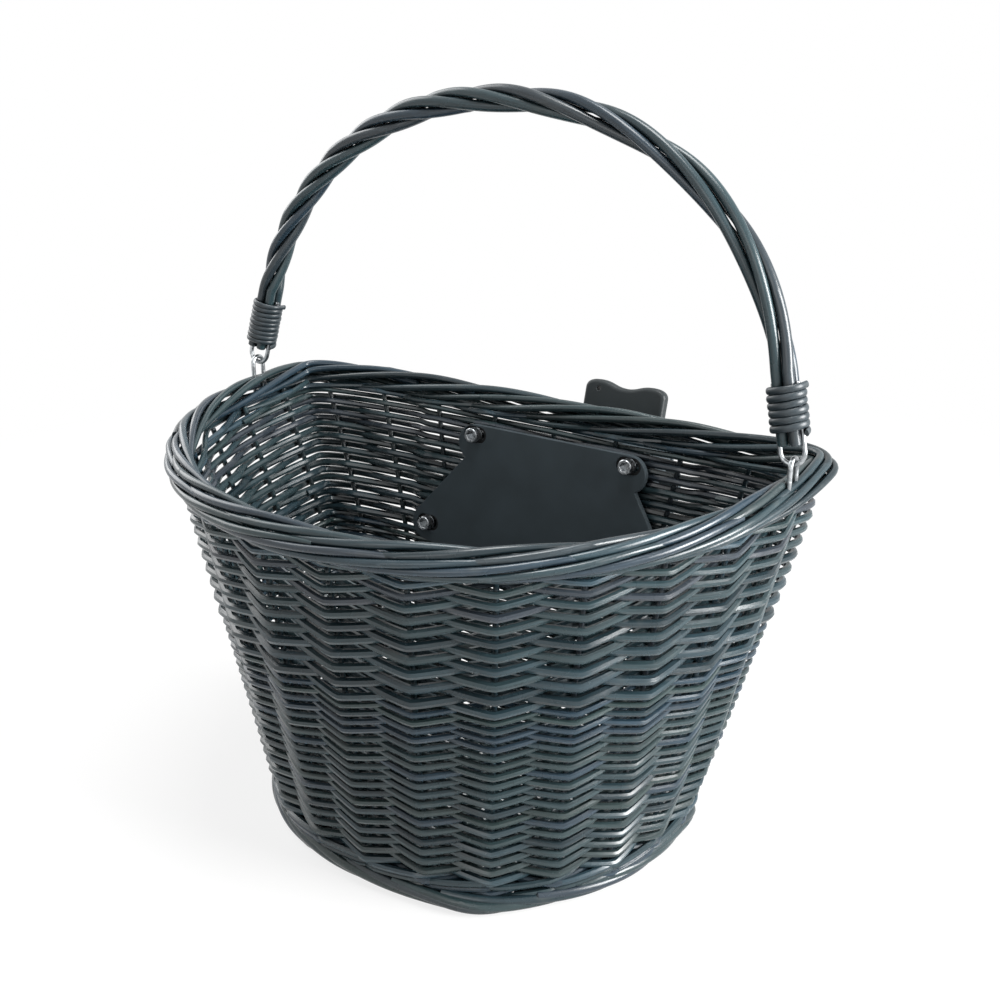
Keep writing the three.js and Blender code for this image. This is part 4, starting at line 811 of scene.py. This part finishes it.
def winding(turns, pitch, strand, start, tails):
    angle = np.linspace(0, 2 * np.pi * turns, int(36 * turns))
    hug = BUNDLE_RADIUS + WIRE_STANDS_OUT * np.cos(angle) ** 2
    hug += strand * CANE_FLATNESS / 2 + 0.1 * np.sin(angle * 0.7)
    level = start + strand / 2 + pitch * angle / (2 * np.pi) + 0.12 * np.sin(angle * 1.3)
    coil = np.stack([hug * np.cos(angle), hug * np.sin(angle), level], axis=1)
    head = coil[0] + np.outer(np.linspace(tails[0], 1.0, 4), unit(coil[0] - coil[2]))
    tail = coil[-1] + np.outer(np.linspace(1.0, tails[1], 4), unit(coil[-1] - coil[-3]))
    turn = np.concatenate([np.full(4, angle[0]), angle, np.full(4, angle[-1])])
    radial = np.stack([np.cos(turn), np.sin(turn), np.zeros_like(turn)], axis=1)
    return np.concatenate([head, coil, tail]), radial


for side, sign, start, turns, pitch, strand, tails in [
        ("left", -1, 11.0, 9, 2.8, 2.9, (2.5, 4.0)), ("right", 1, 14.0, 6, 3.7, 3.7, (4.0, 3.0))]:
    path, radial = winding(turns, pitch, strand, start, tails)
    middle = leg_place(path - radial, sign)
    path = leg_place(path, sign)
    coil = RodBundle()
    coil.add(path, strand / 2, 0.5, sides=12, wobble=0.04, facing=path - middle, flat=CANE_FLATNESS)
    coil.piece(f"cane_winding_{side}", binding_paint, "handle", "binding_cane", f"binding_{side}")

# %% Wire hangers
WIRE = 1.3
LOOP_HALF, LOOP_TOP, LOOP_DROP = 6.22, 40.0, 0.2
PIVOT_RISE, WIRE_GAP = PIVOT_HEIGHT - BODY_HEIGHT, 0.3
EYE_HALF, EYE_LEG, EYE_CROWN = 4.2, 12.0, PIVOT_RISE + 2 * WIRE + WIRE_GAP


def hairpin(half, low, high):
    turn = np.linspace(np.pi, 2 * np.pi, 25)
    bow = np.stack([half * np.cos(turn), half + half * np.sin(turn)], axis=1)
    leg = np.linspace(high, half + 1, 20)
    down = np.stack([np.full(20, -half), leg], axis=1)
    up = np.stack([np.full(20, half), leg[::-1]], axis=1)
    return np.concatenate([down, bow, up]) + [0, low]


for side, sign in [("left", -1), ("right", 1)]:
    pin = hairpin(LOOP_HALF, -LOOP_DROP, LOOP_TOP + LOOP_DROP)
    loop = RodBundle()
    flat = np.stack([pin[:, 0], np.zeros(len(pin)), pin[:, 1]], axis=1)
    loop.add(leg_place(flat, sign), WIRE, 0.5, sides=14, wobble=0.01)
    loop.piece(f"wire_hanger_{side}", galvanised_wire, "handle", "galvanised_wire", f"wire_loop_{side}")
    pin = hairpin(EYE_HALF, 0.0, EYE_CROWN + EYE_LEG)
    eye = RodBundle()
    upright = [np.full(len(pin), sign * EYE_X), PIVOT[1] + pin[:, 0], BODY_HEIGHT + EYE_CROWN - pin[:, 1]]
    eye.add(np.stack(upright, axis=1), WIRE, 0.5, sides=14, wobble=0.01)
    eye.piece(f"rim_staple_{side}", galvanised_wire, "basket", "galvanised_wire", f"rim_eye_{side}")

# %% [markdown]
# ## Screws, washers and nuts
# The solids have plain twelve-sided fasteners. Here each one is turned from a profile with chamfers, and
# the socket and the nut get true hexagons, by letting the radius of a ring follow a hexagon's edge.

# %% Fasteners
TURN_SIDES = 48
sixth = math.pi / 3
turn_angle = 2 * np.pi * np.arange(TURN_SIDES) / TURN_SIDES
HEX_RADIUS = math.cos(sixth / 2) / np.cos(np.mod(turn_angle, sixth) - sixth / 2)


def turned(name, node, rings, closed, material):
    low, high = mount_box(node)
    centre = (low + high) / 2
    points = []
    for radius, y, shape in rings:
        size = radius * (HEX_RADIUS if shape == "hex" else 1.0)
        local = np.stack([centre[0] + size * np.cos(turn_angle), np.full(TURN_SIDES, y),
                          centre[2] + size * np.sin(turn_angle)], axis=1)
        points.append(local @ MOUNT_AXES + MOUNT)
    index = np.arange(len(rings) * TURN_SIDES).reshape(len(rings), TURN_SIDES)
    here = index if closed else index[:-1]
    there = np.roll(index, -1, 0) if closed else index[1:]
    quads = np.stack([here, there, np.roll(there, -1, 1), np.roll(here, -1, 1)], axis=2).reshape(-1, 4)
    faces = quads.tolist()
    if not closed:
        faces += [index[0].tolist(), index[-1, ::-1].tolist()]
    mesh = bpy.data.meshes.new(name)
    mesh.from_pydata((np.concatenate(points) * MM).tolist(), [], faces)
    mesh.validate()
    outside = bmesh.new()
    outside.from_mesh(mesh)
    bmesh.ops.recalc_face_normals(outside, faces=outside.faces)
    outside.to_mesh(mesh)
    outside.free()
    dress(name, mesh, material, "basket", "zinc_steel", node)


def socket_screw(name, node, top, tip, sign, head, shank, height, hexagon, depth):
    turned(name, node, [
        (hexagon, top + sign * depth, "hex"), (hexagon, top + sign * 0.3, "hex"),
        (hexagon * 1.12, top, "hex"), (head - 0.4, top, "round"), (head, top + sign * 0.4, "round"),
        (head, top + sign * height, "round"), (shank, top + sign * height, "round"),
        (shank, tip - sign * 0.5, "round"), (shank - 0.5, tip, "round")], False, zinc_steel)


PLATE_SCREW = {"head": 4.25, "shank": 2.5, "height": 5.0, "hexagon": 2.75, "depth": 3.2}
CAP_SCREW = {"head": 3.5, "shank": 2.0, "height": 3.0, "hexagon": 1.7, "depth": 1.6}
for place in ("upper_left", "upper_right", "lower_left", "lower_right"):
    low, high = mount_box(f"bolt_{place}")
    socket_screw(f"socket_screw_{place}", f"bolt_{place}", low[1], high[1], 1, **PLATE_SCREW)
    low, high = mount_box(f"washer_{place}")
    turned(f"plain_washer_{place}", f"washer_{place}", [
        (2.9, low[1], "round"), (4.3, low[1], "round"), (4.5, low[1] + 0.2, "round"),
        (4.5, high[1] - 0.2, "round"), (4.3, high[1], "round"), (2.9, high[1], "round")], True, dark_steel)
    low, high = mount_box(f"nut_{place}")
    turned(f"hexagon_nut_{place}", f"nut_{place}", [
        (2.8, low[1], "round"), (3.7, low[1], "round"), (4.6, low[1] + 0.5, "hex"),
        (4.6, high[1] - 0.5, "hex"), (3.7, high[1], "round"), (2.8, high[1], "round")], True, zinc_steel)
for place in ("left_upper", "left_lower", "right_upper", "right_lower"):
    low, high = mount_box(f"clamp_screw_{place}")
    socket_screw(f"cap_screw_{place}", f"clamp_screw_{place}", high[1], low[1], -1, **CAP_SCREW)

# %% [markdown]
# ## The inner plate
# A flat moulding with a round ear at each screw and an oval recess in each ear. It is drawn as an
# outline and filled: one layer with the narrow slots, and one over it with the wide recesses. The land
# beside a recess is narrow, so its edge rounding is small; a larger one would let the two lines cross.

# %% Flat mouldings
def arc(x, z, radius, start, end, count=28):
    angle = np.radians(np.linspace(start, end, count))
    return np.stack([x + radius * np.cos(angle), z + radius * np.sin(angle)], axis=1)


def oval(x, z, length, radius):
    reach = length / 2 - radius
    return np.concatenate([arc(x + reach, z, radius, -90, 90), arc(x - reach, z, radius, 90, 270)])


def flat_moulding(loops, thickness, rounding, centre, run, rise):
    curve = bpy.data.curves.new("outline", "CURVE")
    curve.dimensions, curve.fill_mode = "2D", "BOTH"
    for loop in loops:
        spline = curve.splines.new("POLY")
        spline.points.add(len(loop) - 1)
        flat = np.column_stack([np.array(loop) * MM, np.zeros(len(loop)), np.ones(len(loop))])
        spline.points.foreach_set("co", flat.astype(np.float32).ravel())
        spline.use_cyclic_u = True
    curve.extrude = (thickness / 2 - rounding) * MM
    curve.bevel_depth, curve.bevel_resolution, curve.offset = rounding * MM, 4, -rounding * MM
    holder = bpy.data.objects.new("outline", curve)
    scene.collection.objects.link(holder)
    bpy.context.view_layer.update()
    mesh = bpy.data.meshes.new_from_object(holder.evaluated_get(bpy.context.evaluated_depsgraph_get()))
    bpy.data.objects.remove(holder)
    bpy.data.curves.remove(curve)
    columns = [np.array(side) @ MOUNT_AXES for side in (run, rise, np.cross(run, rise))]
    columns.append((np.array(centre) @ MOUNT_AXES + MOUNT) * MM)
    mesh.transform(Matrix([[column[row] for column in columns] for row in range(3)] + [[0, 0, 0, 1]]))
    return mesh


def joined(name, layers):
    whole = bmesh.new()
    for layer in layers:
        whole.from_mesh(layer)
        bpy.data.meshes.remove(layer)
    bmesh.ops.remove_doubles(whole, verts=whole.verts, dist=0.002 * MM)
    mesh = bpy.data.meshes.new(name)
    whole.to_mesh(mesh)
    whole.free()
    return mesh


def level_faces(piece, square_to):
    for face in piece.data.polygons:
        face.use_smooth = abs(np.dot(face.normal, square_to)) < 0.999


SIDEWAYS, OUT, UP = (1, 0, 0), (0, 1, 0), (0, 0, 1)
print("plate along the wall's outward axis, mm:", round(PLATE_LOW[1], 1), "to", round(PLATE_HIGH[1], 1))

# %% Inner plate
EAR, TOP_EAR_Z, SKIRT = 11.0, 25.0, 14.0
UPPER_X, LEFT_X, RIGHT_X, BOLT_Z = 51.0, 80.0, 72.0, 30.0
plate_outline = np.concatenate([
    arc(UPPER_X, TOP_EAR_Z, EAR, 90, -60), arc(RIGHT_X, -BOLT_Z, EAR, 36, -90),
    [[RIGHT_X - SKIRT, -BOLT_Z - SKIRT], [SKIRT - LEFT_X, -BOLT_Z - SKIRT]],
    arc(-LEFT_X, -BOLT_Z, EAR, -90, -216), arc(-UPPER_X, TOP_EAR_Z, EAR, -120, -270)])
bolt_spots = [(-UPPER_X, BOLT_Z), (UPPER_X, BOLT_Z), (-LEFT_X, -BOLT_Z), (RIGHT_X, -BOLT_Z)]
plate_front, plate_back = PLATE_LOW[1], PLATE_HIGH[1]
RECESS_DEPTH, LAYER_OVERLAP = 1.4, 0.05
RECESS_LENGTH, RECESS_RADIUS = 15.5, 4.9
SLOT_LENGTH, SLOT_RADIUS = 11.5, 2.9
layers = []
for low, high, length, radius, rounding in [
        (plate_front, plate_front + RECESS_DEPTH + LAYER_OVERLAP, RECESS_LENGTH, RECESS_RADIUS, 0.12),
        (plate_front + RECESS_DEPTH, plate_back, SLOT_LENGTH, SLOT_RADIUS, 0.15)]:
    loops = [plate_outline] + [oval(x, z, length, radius) for x, z in bolt_spots]
    layers.append(flat_moulding(loops, high - low, rounding, (0, (low + high) / 2, 0), SIDEWAYS, UP))
# Painted shade: the back layer's front faces, seen as the recess floors, take the near-black nylon.
for face in layers[1].polygons:
    face.material_index = int(np.dot(face.normal, WALL_OUT) < -0.99)
plate_mesh = joined("moulded_plate", layers)
plate = dress("moulded_plate", plate_mesh, black_nylon, "basket", "black_nylon", "inner_plate")
plate.data.materials.append(recess_painted_shade_nylon)
level_faces(plate, WALL_OUT)

# %% [markdown]
# ## The thumb lever
# The lever is one moulding: a hooked arm that runs down to the catch, and a wide tab for the thumb. The
# tab's top edge dips in the middle between two rounded bumps, and a cord hole goes through the left bump.
# Both are outlines with a thickness and a rounded edge; the hole is cut with a boolean afterwards.

# %% Thumb lever
RAIL_X = 12.0
TAB_HALF, TAB_HEIGHT, TAB_LEAN, TAB_THICKNESS = 27.0, 30.5, 4.0, 7.5
TAB_MIDDLE, TAB_BOTTOM = 50.75, 34.0
BUMP_X, BUMP_EASE, TAB_DIP, TAB_CORNER = 17.5, 8.0, 3.2, 6.0
CORD_HOLE, CORD_HOLE_DROP = 1.5, 5.0
ARM_HALF = 8.0
TAB_ROUNDING, ARM_ROUNDING = 2.4, 0.6
ARM_OUTLINE = [(12.7, -2.2), (22.1, -2.2), (22.1, 19.0), (29.0, 24.5), (54.5, 34.0), (50.75, 42.0),
               (23.5, 33.0), (17.1, 24.5), (17.1, 6.2), (12.7, 2.6)]


def curve_through(*corners, count=16):
    a, b, c, d = [np.array(corner, float) for corner in corners]
    return bezier(a, b, c, d, count)[1:]


shoulder, dip = TAB_HEIGHT - TAB_CORNER, TAB_HEIGHT - TAB_DIP
half_top = np.concatenate([
    curve_through((TAB_HALF, shoulder), (TAB_HALF, shoulder + TAB_CORNER * 2 / 3),
                  (BUMP_X + (TAB_HALF - BUMP_X) * 2 / 3, TAB_HEIGHT), (BUMP_X, TAB_HEIGHT)),
    curve_through((BUMP_X, TAB_HEIGHT), (BUMP_X - BUMP_EASE, TAB_HEIGHT), (BUMP_EASE, dip), (0, dip))])
tab_outline = np.concatenate([
    [(-TAB_HALF, 0), (TAB_HALF, 0), (TAB_HALF, shoulder)], half_top,
    half_top[-2::-1] * [-1, 1], [(-TAB_HALF, shoulder)]])
slope = np.array([0.0, TAB_LEAN, TAB_HEIGHT]) / math.hypot(TAB_LEAN, TAB_HEIGHT)
tab_outline[:, 1] /= slope[2]
tab_place = (RAIL_X, TAB_MIDDLE, TAB_BOTTOM)
lever_mesh = joined("thumb_lever", [
    flat_moulding([tab_outline], TAB_THICKNESS * slope[2], TAB_ROUNDING, tab_place, SIDEWAYS, slope),
    flat_moulding([ARM_OUTLINE], 2 * ARM_HALF, ARM_ROUNDING, (RAIL_X, 0, 0), OUT, UP)])
hole_spot = np.array([RAIL_X - BUMP_X, TAB_MIDDLE + TAB_LEAN, TAB_BOTTOM + TAB_HEIGHT - CORD_HOLE_DROP])
bpy.ops.mesh.primitive_cylinder_add(
    vertices=32, radius=CORD_HOLE * MM, depth=30 * MM, location=(hole_spot @ MOUNT_AXES + MOUNT) * MM,
    rotation=(math.pi / 2 - BACK_TILT, 0, 0))
drill = bpy.context.object
holder = bpy.data.objects.new("lever_blank", lever_mesh)
scene.collection.objects.link(holder)
drilled = holder.modifiers.new("cord_hole", "BOOLEAN")
drilled.object, drilled.operation, drilled.solver = drill, "DIFFERENCE", "EXACT"
bpy.context.view_layer.update()
lever_mesh = bpy.data.meshes.new_from_object(holder.evaluated_get(bpy.context.evaluated_depsgraph_get()))
bpy.data.objects.remove(holder)
bpy.data.objects.remove(drill)
lever = dress("thumb_lever", lever_mesh, lever_nylon, "lever", "lever_nylon", "release_lever")
level_faces(lever, np.array([0.0, slope[2], -slope[1]]) @ MOUNT_AXES)

# %% [markdown]
# ## The bracket and the clamp
# These solids already have the right shape. They keep their meshes and get softened edges from a bevel
# modifier, because no moulding has a knife edge, and their nylon finish.

# %% Bracket and clamps
for node, finish, width in [
        ("bracket_rail", black_nylon, 0.6), ("bar_adapter", black_nylon, 0.9),
        ("clamp_cap_left", black_nylon, 0.7), ("clamp_cap_right", black_nylon, 0.7),
        ("lever_pin", zinc_steel, 0.2)]:
    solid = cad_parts[node]
    weld = solid.modifiers.new("weld", "WELD")
    weld.merge_threshold = 0.01 * MM
    bevel = solid.modifiers.new("softened_edges", "BEVEL")
    bevel.width, bevel.segments, bevel.limit_method = width * MM, 3, "ANGLE"
    bevel.angle_limit = math.radians(35)
    bevel.harden_normals = False
    solid.data.materials.clear()
    solid.data.materials.append(finish)
    print(node, "softened by", width, "mm")

# %% [markdown]
# ## The lever's spring
# A small coil behind the lever's arm pushes the catch home. It is a rod like the others, wound on a helix.

# %% Lever spring
SPRING_TURNS, SPRING_RADIUS, SPRING_WIRE, SPRING_LEAD = 5, 3.4, 0.45, 0.9
SPRING_START, SPRING_LENGTH, SPRING_RISE = 23.3, 8.5, 4.0
coil_angle = np.linspace(0, 2 * np.pi * SPRING_TURNS, 160)
coil = np.stack([
    RAIL_X + SPRING_RADIUS * np.cos(coil_angle), SPRING_START + SPRING_LENGTH * coil_angle / coil_angle[-1],
    SPRING_RISE + SPRING_RADIUS * np.sin(coil_angle)], axis=1)
spring = RodBundle()
lead = np.array([[0, SPRING_LEAD, 0]])
ends = [coil[:1] - lead, coil, coil[-1:] + lead]
spring.add(np.concatenate(ends) @ MOUNT_AXES + MOUNT, SPRING_WIRE, 0.5, sides=8, wobble=0.0)
spring_piece = spring.piece("return_spring", zinc_steel, "basket", "zinc_steel", "lever_spring")
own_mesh(spring_piece)

# %% [markdown]
# ## Floor and light
# The photograph has a white studio. A big soft light on the right draws a pale line along the rods on that
# side, and a weaker one does so on the left; both stand a little behind the basket, so that the gaps
# between the rods stay dark. A wide one hangs overhead, and a weak one fills the front. The floor is a
# pale sheet that keeps a faint shadow. The white around the object is for what the camera and the
# reflections see only, so it adds no light of its own beyond the plain fill.

# %% Floor sheet
def in_view(tree):
    light = add_node(tree, "ShaderNodeLightPath").outputs
    seen = light["Is Camera Ray"]
    for ray in ("Is Glossy Ray", "Is Transmission Ray"):
        seen = add_node(tree, "ShaderNodeMath", {0: seen, 1: light[ray]}, operation="MAXIMUM").outputs[0]
    return seen


bpy.ops.mesh.primitive_circle_add(vertices=96, radius=16.0, fill_type="NGON", location=(0, 0, -0.0006))
floor = bpy.context.object
floor.name = "floor_sheet"
sheet, tree, surface = start_finish("pale_paper_sheet")
surface.inputs["Base Color"].default_value = linear("#f4f4f3")
surface.inputs["Roughness"].default_value = 0.9
surface.inputs["Specular IOR Level"].default_value = 0.1
away = add_node(tree, "ShaderNodeVectorMath", {
    0: add_node(tree, "ShaderNodeTexCoord").outputs["Object"]}, operation="LENGTH")
whiter = add_node(tree, "ShaderNodeMapRange", {
    "Value": away.outputs["Value"], "From Min": 0.15, "From Max": 0.8, "To Min": 0.80, "To Max": 1.0})
share_white = add_node(tree, "ShaderNodeMath", {
    0: in_view(tree), 1: whiter.outputs["Result"]}, operation="MULTIPLY")
white = add_node(tree, "ShaderNodeEmission", {"Color": linear("#ffffff"), "Strength": 1.0})
both = add_node(tree, "ShaderNodeMixShader", {
    0: share_white.outputs[0], 1: surface.outputs["BSDF"], 2: white.outputs["Emission"]})
tree.links.new(both.outputs["Shader"], tree.nodes["Material Output"].inputs["Surface"])
floor.data.materials.append(sheet)
print("floor:", sheet.name)


# %% Lamps
def soft_lamp(name, place, target, width, height, watts):
    lamp = bpy.data.objects.new(name, bpy.data.lights.new(name, "AREA"))
    lamp.data.shape, lamp.data.size, lamp.data.size_y = "RECTANGLE", width, height
    lamp.data.energy = watts
    lamp.location = place
    beam = np.array(target) - np.array(place)
    tip = math.acos(-beam[2] / np.linalg.norm(beam))
    lamp.rotation_euler = (tip, 0, math.atan2(beam[1], beam[0]) - math.pi / 2)
    scene.collection.objects.link(lamp)
    print(name, watts, "W")


MIDDLE = (0.0, -0.03, 0.15)
soft_lamp("right_softbox", (1.40, 0.22, 0.66), MIDDLE, 0.7, 0.9, 54.0)
soft_lamp("overhead_softbox", (0.1, 0.05, 1.7), MIDDLE, 0.8, 0.6, 19.0)
soft_lamp("left_softbox", (-1.30, 0.20, 0.90), MIDDLE, 1.0, 1.2, 13.5)
soft_lamp("front_fill", (0.2, -1.6, 1.0), MIDDLE, 1.0, 1.0, 5.0)

# %% World
PLAIN_FILL = 0.14
world = bpy.data.worlds.new("white_studio")
scene.world = world
world.use_nodes = True
tree = world.node_tree
background = tree.nodes["Background"]
strength = add_node(tree, "ShaderNodeMapRange", {
    "Value": in_view(tree), "To Min": PLAIN_FILL, "To Max": 1.0})
tree.links.new(strength.outputs["Result"], background.inputs["Strength"])
background.inputs["Color"].default_value = linear("#ffffff")
print("world:", world.name)
